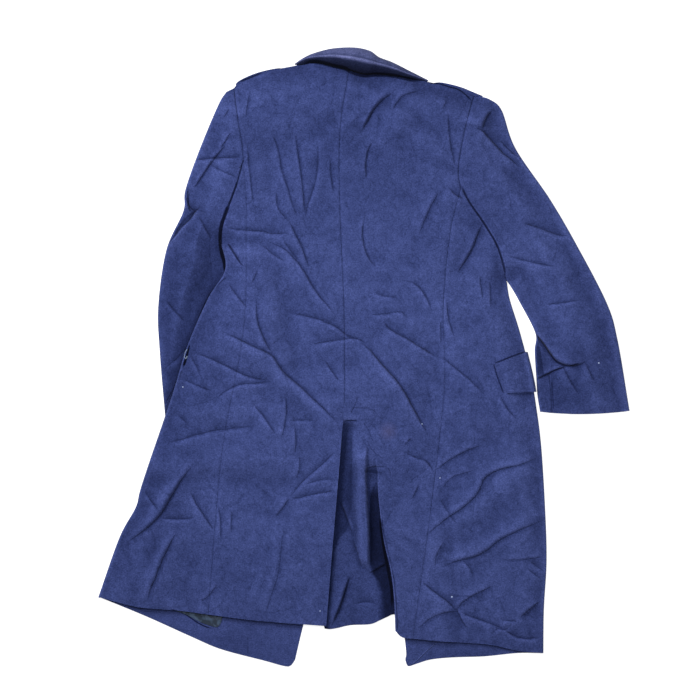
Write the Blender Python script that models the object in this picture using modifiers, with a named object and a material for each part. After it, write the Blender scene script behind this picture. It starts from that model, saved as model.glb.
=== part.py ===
"""Knee-length military-style overcoat of heavy wool, lying flat on its front with its back up.

Every piece a maker would cut is one solid: a cloth wall through rows of points.  Plan places are
tables in centimetres (x to the right, y towards the collar, measured from the middle of the coat),
and heights come from the cloths that lie below, a soft loft inside the outline, and the largest folds.
Metres, +Z up; the coat rests on z = 0.
"""
import math

import bpy
from mathutils import Vector

CM = 0.01
MM = 0.001

# Driving dimensions
CLOTH = 2.5 * MM                # heavy melton wool
LINING = 1.0 * MM               # lining cloth
SEAM_GAP = 0.3 * MM             # between two pieces that meet or lie on each other
LAYER = CLOTH + SEAM_GAP        # pitch of cloths that lie on each other
FOLD_RADIUS = 2.2 * MM          # centre line of a fold at a side edge
SLEEVE_UNDER = 2 * FOLD_RADIUS + CLOTH + SEAM_GAP   # what the flat left sleeve lifts the coat by
RAMP = 5.0 * CM                 # way over which a cloth comes down from what it lies on
OVERHANG = 4.5 * CM             # a cloth stays up this far past the edge below it
LOFT_REACH = 5.0 * CM           # way over which the coat fills out inside its edges
PRESSED_BAND = 1.5 * CM         # sleeve cloth that stays flat next to the coat's side
SLACK = 0.5 * MM                # more room between wide cloths that lie on each other
LEAST_LOFT = 0.2 * MM           # the top cloth stays at least this far above what it lies on
HEAD_REACH = 5.0 * CM           # way over which a sleeve takes on its own height below the armhole
ARMHOLE_GAP = 0.7 * MM
COLLAR_GAP = 0.5 * MM
LIFT_START = 0.8 * CM           # the coat starts to rise over the flat sleeve this far above its underarm
LIFT_REACH = 3.6 * CM
STRAP_WIDTH = 4.6 * CM
STRAP_ROUND_FROM = 0.75         # share of a strap's length after which its end is rounded
STRAP_ROUNDING = 0.75
FLAP_LENGTH_UNDER = 8.0 * CM    # part of a pocket flap that wraps round to the front

# Plan outlines and seams: (x, y) in cm
SHOULDER_LEFT = [(-24.0, 49.5), (-22.7, 50.8), (-18.8, 52.4), (-12.3, 53.7)]
NECK_LEFT = [(-12.3, 53.7), (-9.2, 54.2), (-5.7, 53.5), (-2.9, 52.8)]
NECK_RIGHT = [(-2.9, 52.8), (-0.2, 52.1), (3.5, 52.0), (11.3, 50.7)]
SHOULDER_RIGHT = [(11.3, 50.7), (14.6, 50.0), (17.4, 49.1), (19.9, 47.9)]
ARMHOLE_UPPER_LEFT = [(-24.0, 49.5), (-23.2, 43.6), (-22.3, 36.7)]
ARMHOLE_LOWER_LEFT = [(-22.8, 35.2), (-23.8, 30.8), (-25.6, 26.0), (-26.5, 21.7)]
ARMHOLE_UPPER_RIGHT = [(19.9, 47.9), (18.3, 41.8), (17.2, 35.5), (17.6, 31.2)]
ARMHOLE_LOWER_RIGHT = [(18.4, 29.9), (21.2, 25.6), (24.2, 20.6), (26.0, 14.0)]
SIDE_SEAM_UPPER_LEFT = [(-22.3, 36.7), (-21.7, 29.0), (-21.7, 21.7)]
SIDE_SEAM_LOWER_LEFT = [(-21.7, 21.7), (-21.8, 10.7), (-22.7, 1.4), (-26.2, -17.8), (-28.7, -46.9)]
SIDE_SEAM_UPPER_RIGHT = [(17.6, 31.2), (15.8, 24.0), (14.8, 16.0)]
SIDE_SEAM_LOWER_RIGHT = [(14.8, 16.0), (14.3, 7.0), (14.5, -6.0), (12.1, -27.7), (8.8, -51.3)]
SIDE_EDGE_LEFT = [
    (-26.5, 21.7), (-25.6, 16.4), (-28.7, 11.1), (-32.6, 2.1), (-35.3, -6.7),
    (-40.8, -22.8), (-42.0, -27.2), (-45.0, -32.8), (-48.9, -43.8),
]
SIDE_EDGE_RIGHT = [
    (26.0, 14.0), (26.6, 10.6), (28.4, 4.8), (30.4, -3.0), (31.4, -9.0),
    (32.3, -16.0), (33.0, -27.0), (33.3, -36.9), (32.8, -46.0), (32.6, -53.3),
]
CENTRE_SEAM = [(-2.9, 52.8), (-4.5, 42.0), (-4.6, 29.0), (-3.8, 9.0), (-3.7, -7.6)]
VENT_EDGE_LEFT = [(-3.7, -7.6), (-4.9, -22.2), (-6.2, -37.8), (-7.1, -49.0)]
VENT_EDGE_RIGHT = [
    (-3.7, -7.6), (-1.6, -14.0), (2.2, -21.0), (2.7, -28.0), (4.9, -40.5), (5.6, -50.1),
]
HEM_SIDE_LEFT = [(-48.9, -43.8), (-42.0, -45.5), (-34.0, -46.2), (-28.7, -46.9)]
HEM_BACK_LEFT = [(-28.7, -46.9), (-20.0, -48.0), (-7.1, -49.0)]
HEM_BACK_RIGHT = [(5.6, -50.1), (7.1, -51.0), (8.8, -51.3)]
HEM_SIDE_RIGHT = [(8.8, -51.3), (16.0, -51.8), (24.7, -53.0), (32.6, -53.3)]
FRONT_EDGE_LEFT = [
    (-12.3, 53.7), (6.4, 39.1), (9.7, 29.0), (5.5, 5.2), (-3.7, -29.6), (-11.6, -51.5), (-12.6, -55.2),
]
FRONT_EDGE_RIGHT = [
    (11.3, 50.7), (-6.4, 36.3), (-8.6, 27.2), (-4.6, 3.4), (4.2, -29.6), (7.5, -51.5), (8.2, -55.6),
]
HEM_FRONT_LEFT = [
    (-48.9, -43.8), (-40.3, -47.3), (-32.0, -50.6), (-26.5, -53.2), (-15.5, -56.0), (-12.6, -55.2),
]
HEM_FRONT_RIGHT = [(32.6, -53.3), (23.8, -53.7), (13.7, -55.0), (10.1, -56.2), (8.2, -55.6)]
SLEEVE_OUTER_LEFT = [
    (-25.4, 48.8), (-26.8, 46.6), (-30.0, 39.1), (-32.9, 31.0), (-33.3, 27.0), (-36.4, 19.9),
    (-37.9, 9.5), (-37.6, 1.0), (-36.7, -9.8), (-36.4, -13.5),
]
SLEEVE_INNER_LEFT = [
    (-27.0, 21.4), (-26.7, 19.9), (-26.1, 18.3), (-24.9, 15.6), (-22.9, 10.7), (-21.4, -0.3), (-20.6, -13.5),
]
SLEEVE_OUTER_RIGHT = [
    (21.0, 48.0), (23.0, 47.4), (25.1, 45.4), (27.6, 38.5), (33.9, 29.2), (38.8, 20.8),
    (44.3, 10.2), (46.3, 3.4), (48.5, -9.6),
]
SLEEVE_INNER_RIGHT = [(26.6, 13.4), (28.2, 10.6), (31.4, 4.7), (32.1, 0.5), (32.2, -5.0), (32.8, -9.9)]
BACK_SEAM_UPPER_LEFT = [(-22.3, 36.7), (-25.4, 30.0), (-28.4, 21.4)]
BACK_SEAM_LOWER_LEFT = [(-28.4, 21.4), (-27.4, 10.0), (-24.6, -1.0), (-23.0, -13.5)]
BACK_SEAM_UPPER_RIGHT = [(17.6, 31.2), (22.6, 26.4), (28.4, 15.6)]
BACK_SEAM_LOWER_RIGHT = [(28.4, 15.6), (30.6, 10.4), (33.6, 3.5), (34.2, -9.8)]
FOREARM_SEAM_UPPER_LEFT = [(-22.3, 36.7), (-26.4, 30.0), (-29.6, 21.4)]
FOREARM_SEAM_LOWER_LEFT = [(-29.6, 21.4), (-28.9, 8.0), (-26.4, -13.5)]
FOREARM_SEAM_UPPER_RIGHT = [(17.6, 31.2), (23.6, 26.6), (30.2, 16.2)]
FOREARM_SEAM_LOWER_RIGHT = [(30.2, 16.2), (34.8, 5.5), (37.8, -9.8)]
UNDERLAP_EDGE_LEFT = [(-6.2, -9.8), (-7.4, -22.2), (-8.7, -37.8), (-9.4, -48.2)]
UNDERLAP_EDGE_RIGHT = [(0.6, -9.8), (5.2, -21.0), (7.4, -40.5), (8.2, -49.0)]
UNDERLAP_HEM = [
    (-9.4, -48.2), (-7.0, -49.5), (-2.7, -49.0), (2.7, -48.0), (5.3, -47.4), (8.2, -49.0),
]

# Collar sections from the left neck point to the right one, in cm: the ridge nearest the eye with its
# height, and the outer silhouette
COLLAR_SECTIONS = [
    # ridge x, ridge y, ridge z, outer x, outer y
    (-12.2, 54.2, 1.4, -12.7, 54.8),
    (-9.2, 55.1, 2.6, -9.6, 55.9),
    (-5.6, 55.2, 3.6, -6.0, 56.8),
    (-1.9, 54.7, 4.0, -2.0, 57.0),
    (1.5, 54.0, 3.9, 1.5, 56.2),
    (4.6, 53.3, 3.3, 4.6, 54.7),
    (8.0, 52.1, 2.4, 8.1, 53.0),
    (11.2, 51.1, 1.4, 11.8, 51.8),
]
# Across the collar: share of the way from seam to ridge (0 to 1) and on to the silhouette (1 to 2),
# and the height as a share of the ridge's
COLLAR_PROFILE = [
    # way, height
    (0.0, 0.35), (0.3, 0.56), (0.65, 0.86), (1.0, 1.0),
    (1.4, 0.93), (1.8, 0.66), (2.0, 0.3), (1.92, 0.0),
]

# Shoulder straps lie under the shoulders: first and last place along the shoulder (0 at the sleeve,
# 1 at the neck) and how far they show past the shoulder at each end, in cm
STRAPS = {
    # side: start, end, shows at start, shows at end
    "left": (0.02, 0.88, 0.4, 0.2),
    "right": (0.02, 0.9, 0.9, 0.3),
}

# Pocket flaps, in cm: how far the upper and lower edge reach onto the top side, then the y of each
# edge at its end there, at the side of the coat and at its end on the floor side
FLAPS = {
    # side: reaches, y of the upper edge, y of the lower edge; a reach of 0 keeps the flap below the coat
    "left": ((0.0, 0.0), (2.2, 2.0, 3.4), (-4.0, -4.2, -3.0)),
    "right": ((6.3, 5.2), (-1.2, 1.2, 3.6), (-6.3, -6.1, -5.0)),
}

# Lining that shows between the left hem and the front below it: corners in cm
LINING_TOP = [(-33.5, -44.6), (-24.5, -45.2)]
LINING_BOTTOM = [(-31.2, -48.6), (-25.6, -49.4)]

# How far the coat fills out above the cloths below, by height on the coat: (y cm, loft mm)
LOFT_ALONG = [
    (-56.0, 2.5), (-44.0, 4.5), (-20.0, 7.0), (5.0, 9.0), (30.0, 12.0), (46.0, 11.0), (54.0, 8.0),
]
SLEEVE_LOFT_ALONG = [(-14.0, 5.0), (0.0, 7.0), (20.0, 9.0), (50.0, 11.0)]

# The largest folds: (x0, y0, x1, y1) in cm, half width in cm, height in mm (below zero a trough)
FOLDS = [
    # x0, y0, x1, y1, half width, height
    (5.5, 48.8, -0.9, 41.0, 2.2, -3.2),
    (7.8, 46.4, 1.4, 38.5, 2.2, 2.6),
    (-26.9, 5.4, -4.2, -12.7, 2.6, 3.6),
    (-24.0, 1.2, -8.0, -11.5, 2.2, -2.6),
    (-1.5, 3.4, 11.5, -14.9, 2.4, 3.0),
    (3.1, 7.0, 13.4, 0.1, 2.0, -2.4),
    (-18.3, 21.7, -5.1, 7.4, 2.2, 2.4),
    (21.6, 25.0, 16.8, 15.3, 2.0, -2.6),
    (-31.1, -19.1, -43.9, -34.1, 2.4, 3.6),
    (-34.2, -31.4, -39.9, -45.1, 2.4, 3.0),
    (-14.6, -29.9, -18.3, -46.4, 2.8, 2.6),
    (33.0, -17.7, 10.4, -33.2, 2.8, 3.4),
    (33.0, -29.6, 13.7, -38.3, 2.4, 3.0),
    (-20.0, 42.0, -11.9, 24.9, 2.2, -2.0),
    (-28.5, -13.0, -19.6, -12.5, 2.4, -2.2),
    (-1.1, -16.7, 0.9, -39.0, 1.6, 6.5),
    (38.0, -0.5, 32.0, -3.8, 1.8, 2.6),
    (-30.8, 36.8, -22.3, 36.8, 1.8, -2.4),
    (29.0, 25.0, 37.5, 22.6, 1.8, -2.4),
]

# Rows and columns of the walls
ROWS_SHOULDER = 5               # from the shoulder to where the side and back seams leave the armhole
ROWS_ARMHOLE = 6                # from there to the underarm
ROWS_SIDE = 28                  # from the underarm to the hem
ROWS_VENT = 17                  # the last of them, from the vent top to the hem
ROWS_YOKE = 8                   # floor side of a front, shoulder to underarm
ROWS_YOKE_LOWER = 3             # the last of them, beside the lower armhole
ROWS_SLEEVE = 14                # from the underarm to the cuff
COLUMNS_SHOULDER = 5
COLUMNS_NECK = 4
COLUMNS_SIDE = 5
COLUMNS_FRONT = 8
COLUMNS_SLEEVE = 4
COLUMNS_UNDER_SLEEVE = 2
FOLD_STEPS = 3
FLAP_FOLD_STEPS = 5
ROWS_UNDERLAP = 14
COLUMNS_UNDERLAP = 5
COLUMNS_STRAP = 8
ROWS_STRAP = 3
ROWS_FLAP = 3
COLUMNS_FLAP = 3
COLUMNS_LINING = 4
ROWS_LINING = 3
SPAN_SAMPLES = 24
SHOULDER_STEPS = 40


def clamp(value, low=0.0, high=1.0):
    return max(low, min(high, value))


def smooth(value):
    t = clamp(value)
    return t * t * (3.0 - 2.0 * t)


def mix(a, b, t):
    return a + (b - a) * t


def table_value(table, key):
    """Value of a two-column table at key, smooth between its rows."""
    if key <= table[0][0]:
        return table[0][1]
    for (key_a, value_a), (key_b, value_b) in zip(table, table[1:]):
        if key <= key_b:
            return mix(value_a, value_b, smooth((key - key_a) / (key_b - key_a)))
    return table[-1][1]


def rounded(table):
    """Dense smooth line in metres through a table of (x, y) in cm."""
    knots = [Vector((x * CM, y * CM)) for x, y in table]
    knots = [2 * knots[0] - knots[1]] + knots + [2 * knots[-1] - knots[-2]]
    line = []
    for a, b, c, d in zip(knots, knots[1:], knots[2:], knots[3:]):
        for step in range(SPAN_SAMPLES):
            t = step / SPAN_SAMPLES
            line.append(0.5 * (2 * b + (c - a) * t + (2 * a - 5 * b + 4 * c - d) * t * t
                               + (3 * b - a - 3 * c + d) * t ** 3))
    line.append(knots[-2].copy())
    return line


def spaced(line, count):
    """count + 1 points evenly spaced along a line."""
    lengths = [0.0]
    for a, b in zip(line, line[1:]):
        lengths.append(lengths[-1] + (b - a).length)
    points = []
    index = 0
    for step in range(count + 1):
        want = lengths[-1] * step / count
        while index < len(line) - 2 and lengths[index + 1] < want:
            index += 1
        span = max(lengths[index + 1] - lengths[index], 1e-9)
        points.append(line[index].lerp(line[index + 1], clamp((want - lengths[index]) / span)))
    return points


def edge(*parts):
    """Points along joined tables, each given with its number of rows."""
    points = []
    for table, count in parts:
        points += spaced(rounded(table), count)[1 if points else 0:]
    return points


def x_at(line, y):
    """x of a line that runs down the coat, at height y on it."""
    if y >= line[0].y:
        return line[0].x
    for a, b in zip(line, line[1:]):
        if b.y <= y:
            return mix(a.x, b.x, clamp((a.y - y) / max(a.y - b.y, 1e-9)))
    return line[-1].x


def distance(line, x, y):
    """Shortest way in plan from (x, y) to a line."""
    best = 1.0
    for a, b in zip(line, line[1:]):
        dx, dy = b.x - a.x, b.y - a.y
        t = clamp(((x - a.x) * dx + (y - a.y) * dy) / max(dx * dx + dy * dy, 1e-12))
        best = min(best, math.hypot(x - a.x - dx * t, y - a.y - dy * t))
    return best


LINES = {
    "side_left": rounded(SIDE_EDGE_LEFT),
    "side_right": rounded(SIDE_EDGE_RIGHT),
    "front_left": rounded(FRONT_EDGE_LEFT),
    "front_right": rounded(FRONT_EDGE_RIGHT),
    "sleeve_inner_left": rounded(SLEEVE_INNER_LEFT),
    "underlap_left": rounded(UNDERLAP_EDGE_LEFT),
    "underlap_right": rounded(UNDERLAP_EDGE_RIGHT),
}
SHOULDER_LINES = [spaced(rounded(SHOULDER_LEFT), 8), spaced(rounded(SHOULDER_RIGHT), 8)]
ARMHOLES = {
    "left": spaced(rounded(ARMHOLE_UPPER_LEFT + ARMHOLE_LOWER_LEFT[1:]), 16),
    "right": spaced(rounded(ARMHOLE_UPPER_RIGHT + ARMHOLE_LOWER_RIGHT[1:]), 16),
}
BODY_EDGES = SHOULDER_LINES + [spaced(rounded(SIDE_EDGE_LEFT), 24), spaced(rounded(SIDE_EDGE_RIGHT), 24)]
SLEEVE_EDGES = {
    "left": [spaced(rounded(SLEEVE_OUTER_LEFT), 24), spaced(rounded(SIDE_EDGE_LEFT), 24)],
    "right": [spaced(rounded(SLEEVE_OUTER_RIGHT), 24), spaced(rounded(SLEEVE_INNER_RIGHT), 18)],
}


def down(reach):
    """1 at and before an edge, falling softly to 0 past it."""
    return 1.0 - smooth((reach - OVERHANG) / RAMP)


# What lies below the coat's top cloth, each as a share from 0 to 1

def over_straps(x, y):
    reach = min(distance(line, x, y) for line in SHOULDER_LINES) - STRAP_WIDTH
    return down(reach)


def over_sleeve(x, y):
    """Where the coat lies on the flat left sleeve."""
    underarm = SLEEVE_INNER_LEFT[0][1] * CM
    cuff = SLEEVE_INNER_LEFT[-1][1] * CM
    past_inner = x - x_at(LINES["sleeve_inner_left"], y)
    return down(past_inner) * down(cuff - y) * smooth((underarm - y + LIFT_START) / LIFT_REACH)


def over_left_front(x, y):
    return down(x - x_at(LINES["front_left"], y))


def over_right_front(x, y):
    return down(x_at(LINES["front_right"], y) - x)


def over_underlap(x, y):
    left = x_at(LINES["underlap_left"], y) - x
    right = x - x_at(LINES["underlap_right"], y)
    top = y - UNDERLAP_EDGE_LEFT[0][1] * CM
    return down(left) * down(right) * down(top)


def over_flap(side, x, y):
    """Where the coat lies on the part of a pocket flap that is wrapped under it."""
    upper, lower = FLAPS[side][1], FLAPS[side][2]
    inward = (x - x_at(LINES["side_" + side], y)) * (1.0 if side == "left" else -1.0)
    return down(inward - FLAP_LENGTH_UNDER) * down(y - max(upper) * CM) * down(min(lower) * CM - y)


def over_lining(x, y):
    left, right = LINING_TOP[0][0] * CM, LINING_TOP[1][0] * CM
    return down(left - x) * down(x - right) * down(y - LINING_TOP[0][1] * CM)


def floor_left(x, y):
    """Mid height of the left front where it lies under the coat."""
    flap = (LAYER + SLACK) * over_flap("left", x, y)
    return CLOTH / 2 + LAYER * over_straps(x, y) + flap + SLEEVE_UNDER * over_sleeve(x, y)


def floor_right(x, y):
    """Mid height of the right front, which lies on the left one where they overlap."""
    slack_layers = over_flap("right", x, y) + over_left_front(x, y)
    return CLOTH / 2 + LAYER * over_straps(x, y) + (LAYER + SLACK) * slack_layers


def underlap_height(x, y):
    layers = over_left_front(x, y) + over_right_front(x, y)
    return CLOTH / 2 + (LAYER + SLACK) * layers + max(fold_height(x, y), 0.0)


def pressed_height(x, y, on_sleeve=True):
    """Mid height of the top cloth if it lay pressed on what is below it."""
    slack_layers = over_left_front(x, y) + over_right_front(x, y) + over_underlap(x, y)
    slack_layers += over_flap("left", x, y) + over_flap("right", x, y)
    lining = (LINING + SEAM_GAP) * over_lining(x, y)
    lifted = SLEEVE_UNDER * over_sleeve(x, y) if on_sleeve else 0.0
    return CLOTH / 2 + LAYER * over_straps(x, y) + (LAYER + SLACK) * slack_layers + lining + lifted


def fold_height(x, y):
    """Sum of the large folds at a place: soft ridges and troughs that fade at both ends."""
    total = 0.0
    for x0, y0, x1, y1, half_width, height in FOLDS:
        ax, ay = x - x0 * CM, y - y0 * CM
        dx, dy = (x1 - x0) * CM, (y1 - y0) * CM
        length = math.hypot(dx, dy)
        along = (ax * dx + ay * dy) / length ** 2
        if -0.1 < along < 1.1:
            across = abs(ax * dy - ay * dx) / length / (half_width * CM)
            if across < 2.0:
                fade = smooth((along + 0.1) / 0.3) * smooth((1.1 - along) / 0.3)
                total += height * MM * math.exp(-across * across) * fade
    return total


def top_height(x, y, on_sleeve=True):
    """Mid height of the coat's top cloth."""
    inside = smooth(min(distance(line, x, y) for line in BODY_EDGES) / LOFT_REACH)
    loft = table_value(LOFT_ALONG, y / CM) * MM
    edge_lift = 2 * FOLD_RADIUS - LAYER - SLACK
    fullness = max(mix(edge_lift, loft + fold_height(x, y), inside), LEAST_LOFT)
    return pressed_height(x, y, on_sleeve) + fullness


def sleeve_top_height(side, x, y):
    """Mid height of a sleeve's top cloth; the left one is pressed flat where the coat lies on it."""
    hidden = side == "left" and x > x_at(LINES["side_left"], y) and y < SIDE_EDGE_LEFT[0][1] * CM
    reach = 0.0 if hidden else min(distance(line, x, y) for line in SLEEVE_EDGES[side])
    inside = smooth((reach - PRESSED_BAND) / LOFT_REACH)
    loft = table_value(SLEEVE_LOFT_ALONG, y / CM) * MM
    fold = fold_height(x, y) * inside
    return CLOTH / 2 + 2 * FOLD_RADIUS + max(inside * loft + fold, 0.0)


def patch(left, right, top, bottom):
    """Plan points between four edges: rows along left and right, columns along top and bottom."""
    rows, columns = len(left) - 1, len(top) - 1
    grid = []
    for i in range(rows + 1):
        v = i / rows
        line = []
        for j in range(columns + 1):
            u = j / columns
            across = left[i].lerp(right[i], u)
            along = top[j].lerp(bottom[j], v)
            corners = top[0].lerp(top[-1], u).lerp(bottom[0].lerp(bottom[-1], u), v)
            line.append(across + along - corners)
        grid.append(line)
    return grid


def pull_in(points):
    """Draws the two ends of a row in, so that neighbours stay clear of each other at their seam."""
    for end, near in ((0, 1), (-1, -2)):
        way = points[near] - points[end]
        points[end] = points[end] + way.normalized() * SEAM_GAP
    return points


def material(name, colour, roughness):
    made = bpy.data.materials.new(name)
    made.use_nodes = True
    shader = made.node_tree.nodes["Principled BSDF"]
    shader.inputs["Base Color"].default_value = (*colour, 1.0)
    shader.inputs["Roughness"].default_value = roughness
    shader.inputs["Metallic"].default_value = 0.0
    return made


def wall(name, grid, finish, collection, thickness=CLOTH):
    """One cloth wall through a grid of points; a cell with a missing corner is left out."""
    mesh = bpy.data.meshes.new(name)
    index = {}
    points = []
    for i, line in enumerate(grid):
        for j, point in enumerate(line):
            if point is not None:
                index[i, j] = len(points)
                points.append(point)
    faces = []
    for i in range(len(grid) - 1):
        for j in range(len(grid[i]) - 1):
            corners = [(i, j), (i + 1, j), (i + 1, j + 1), (i, j + 1)]
            if all(corner in index for corner in corners):
                faces.append([index[corner] for corner in corners])
    mesh.from_pydata(points, [], faces)
    mesh.update()
    mesh.shade_smooth()
    mesh.materials.append(finish)
    piece = bpy.data.objects.new(name, mesh)
    solid = piece.modifiers.new("Cloth", "SOLIDIFY")
    solid.thickness = thickness
    solid.offset = 0.0
    solid.use_even_offset = True
    collection.objects.link(piece)
    return piece


def bend(first, last, way):
    """Points of a side fold between two cloths that lie on each other."""
    middle = (first + last) / 2
    half = (first.z - last.z) / 2
    points = []
    for step in range(1, FOLD_STEPS):
        angle = math.pi * (step / FOLD_STEPS - 0.5)
        out = way * (FOLD_RADIUS * math.cos(angle))
        points.append(Vector((middle.x + out.x, middle.y + out.y, middle.z - half * math.sin(angle))))
    return points


def back_panel(side):
    """One half of the back: armhole and side seam, centre seam and vent edge, shoulder and neck, hem."""
    left = side == "left"
    upper = ARMHOLE_UPPER_LEFT if left else ARMHOLE_UPPER_RIGHT
    seam_upper = SIDE_SEAM_UPPER_LEFT if left else SIDE_SEAM_UPPER_RIGHT
    seam_lower = SIDE_SEAM_LOWER_LEFT if left else SIDE_SEAM_LOWER_RIGHT
    outer = edge((upper, ROWS_SHOULDER), (seam_upper, ROWS_ARMHOLE), (seam_lower, ROWS_SIDE))
    vent_edge = VENT_EDGE_LEFT if left else VENT_EDGE_RIGHT
    rows_to_vent = ROWS_SHOULDER + ROWS_ARMHOLE + ROWS_SIDE - ROWS_VENT
    inner = edge((CENTRE_SEAM, rows_to_vent), (vent_edge, ROWS_VENT))
    columns = COLUMNS_SHOULDER + COLUMNS_NECK
    if left:
        top = edge((SHOULDER_LEFT, COLUMNS_SHOULDER), (NECK_LEFT, COLUMNS_NECK))
        plan = patch(outer, inner, top, edge((HEM_BACK_LEFT, columns)))
    else:
        top = edge((NECK_RIGHT, COLUMNS_SHOULDER), (SHOULDER_RIGHT, COLUMNS_NECK))
        plan = patch(inner, outer, top, edge((HEM_BACK_RIGHT, columns)))
    return [[raised(p, top_height) for p in pull_in(row)] for row in plan]


def raised(place, height):
    return Vector((place.x, place.y, height(place.x, place.y)))


def front_panel(side):
    """One front: from the side seam on top, round the side edge, and along the floor to its front edge.

    Above the underarm its top and its floor side are parted by the armhole, so the fold is left out."""
    left = side == "left"
    outward = Vector((-1.0 if left else 1.0, 0.0))
    side_edge = edge((SIDE_EDGE_LEFT if left else SIDE_EDGE_RIGHT, ROWS_SIDE))
    fold_line = [p - outward * (FOLD_RADIUS + CLOTH / 2) for p in side_edge]
    lower = ARMHOLE_LOWER_LEFT if left else ARMHOLE_LOWER_RIGHT
    upper = ARMHOLE_UPPER_LEFT if left else ARMHOLE_UPPER_RIGHT
    seam_upper = SIDE_SEAM_UPPER_LEFT if left else SIDE_SEAM_UPPER_RIGHT
    seam_lower = SIDE_SEAM_LOWER_LEFT if left else SIDE_SEAM_LOWER_RIGHT
    seam = edge((seam_upper, ROWS_ARMHOLE), (seam_lower, ROWS_SIDE))
    top_outer = edge((lower, ROWS_ARMHOLE))[:-1] + fold_line
    top_edge = spaced([top_outer[0], seam[0]], COLUMNS_SIDE)
    hem = edge((HEM_SIDE_LEFT if left else HEM_SIDE_RIGHT[::-1], COLUMNS_SIDE))
    top = patch(top_outer, seam, top_edge, hem)

    yoke = edge((upper, ROWS_YOKE - ROWS_YOKE_LOWER), (lower, ROWS_YOKE_LOWER))
    floor_outer = yoke[:-1] + fold_line
    front_edge = edge((FRONT_EDGE_LEFT if left else FRONT_EDGE_RIGHT, ROWS_YOKE + ROWS_SIDE))
    shoulder = edge((SHOULDER_LEFT[::-1] if left else SHOULDER_RIGHT, COLUMNS_FRONT))
    front_hem = edge((HEM_FRONT_LEFT[::-1] if left else HEM_FRONT_RIGHT[::-1], COLUMNS_FRONT))
    floor = patch(front_edge, floor_outer, shoulder, front_hem)

    grid = []
    for i, floor_row in enumerate(floor):
        row = [raised(p, floor_left if left else floor_right) for p in floor_row]
        k = i - (ROWS_YOKE - ROWS_ARMHOLE)
        if k < 0:
            grid.append(row + [None] * (FOLD_STEPS + COLUMNS_SIDE))
            continue
        top_row = [raised(p, top_height) for p in top[k][:-1] + pull_in(top[k][-2:])[1:]]
        fold = bend(row[-1], top_row[0], outward) if i >= ROWS_YOKE else [None] * (FOLD_STEPS - 1)
        grid.append(row + fold + top_row)
    return grid


def sleeve_height(side, place):
    """Height of a sleeve's top cloth: the coat's own at the armhole, the sleeve's further out."""
    away = smooth(distance(ARMHOLES[side], place.x, place.y) / HEAD_REACH)
    height = mix(top_height(place.x, place.y, False), sleeve_top_height(side, place.x, place.y), away)
    return Vector((place.x, place.y, height))


def sleeve_floor(side, place):
    """Height of a sleeve's cloth on the floor, which comes down from the strap at the armhole."""
    away = smooth(distance(ARMHOLES[side], place.x, place.y) / HEAD_REACH)
    return Vector((place.x, place.y, CLOTH / 2 + LAYER * over_straps(place.x, place.y) * (1.0 - away)))


def sleeve_panels(side):
    """The top sleeve round the outer edge, and the under sleeve round the inner edge below the underarm."""
    left = side == "left"
    off_coat = Vector(((-1.0 if left else 1.0) * ARMHOLE_GAP, 0.0))
    inset = FOLD_RADIUS + CLOTH / 2
    upper = edge((ARMHOLE_UPPER_LEFT if left else ARMHOLE_UPPER_RIGHT, ROWS_SHOULDER))
    upper = [p + off_coat for p in upper]
    lower = edge((ARMHOLE_LOWER_LEFT if left else ARMHOLE_LOWER_RIGHT, ROWS_ARMHOLE))
    lower = [p + off_coat for p in lower]
    rows = ROWS_SHOULDER + ROWS_ARMHOLE + ROWS_SLEEVE
    outer = edge((SLEEVE_OUTER_LEFT if left else SLEEVE_OUTER_RIGHT, rows))
    inner = edge((SLEEVE_INNER_LEFT if left else SLEEVE_INNER_RIGHT, ROWS_SLEEVE))
    across = [(b - a).normalized() for a, b in zip(outer, upper[:-1] + lower[:-1] + inner)]
    for _ in range(2):
        across = [(a + 2 * b + c).normalized()
                  for a, b, c in zip(across[:1] + across, across, across[1:] + across[-1:])]
    outer_line = [p + way * inset for p, way in zip(outer, across)]
    inner_line = [p - way * inset for p, way in zip(inner, across[-len(inner):])]
    seams = {
        "top": (BACK_SEAM_UPPER_LEFT if left else BACK_SEAM_UPPER_RIGHT,
                BACK_SEAM_LOWER_LEFT if left else BACK_SEAM_LOWER_RIGHT),
        "floor": (FOREARM_SEAM_UPPER_LEFT if left else FOREARM_SEAM_UPPER_RIGHT,
                  FOREARM_SEAM_LOWER_LEFT if left else FOREARM_SEAM_LOWER_RIGHT),
    }
    halves = {}
    for face, (seam_upper, seam_lower) in seams.items():
        height = sleeve_height if face == "top" else sleeve_floor
        seam = [p + off_coat for p in edge((seam_upper, ROWS_ARMHOLE), (seam_lower, ROWS_SLEEVE))]
        head = spaced([outer_line[0], upper[0]], COLUMNS_SLEEVE)
        cuff = spaced([outer_line[-1], seam[-1]], COLUMNS_SLEEVE)
        big = patch(outer_line, upper[:-1] + seam, head, cuff)
        start = spaced([seam[0], lower[0]], COLUMNS_UNDER_SLEEVE)
        end = spaced([seam[-1], inner_line[-1]], COLUMNS_UNDER_SLEEVE)
        small = patch(seam, lower[:-1] + inner_line, start, end)
        big = [row[:-1] + pull_in(row[-2:])[1:] for row in big]
        small = [pull_in(row[:2])[:1] + row[1:] for row in small]
        halves[face] = ([[height(side, p) for p in row] for row in big],
                        [[height(side, p) for p in row] for row in small])
    top_sleeve = []
    for top, floor, way in zip(halves["top"][0], halves["floor"][0], across):
        top_sleeve.append(top[::-1] + bend(top[0], floor[0], -way) + floor)
    under_sleeve = []
    for k, (top, floor) in enumerate(zip(halves["top"][1], halves["floor"][1])):
        fold = [None] * (FOLD_STEPS - 1)
        if k >= ROWS_ARMHOLE:
            fold = bend(top[-1], floor[-1], across[ROWS_SHOULDER + k])
        under_sleeve.append(top + fold + floor[::-1])
    return top_sleeve, under_sleeve


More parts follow.
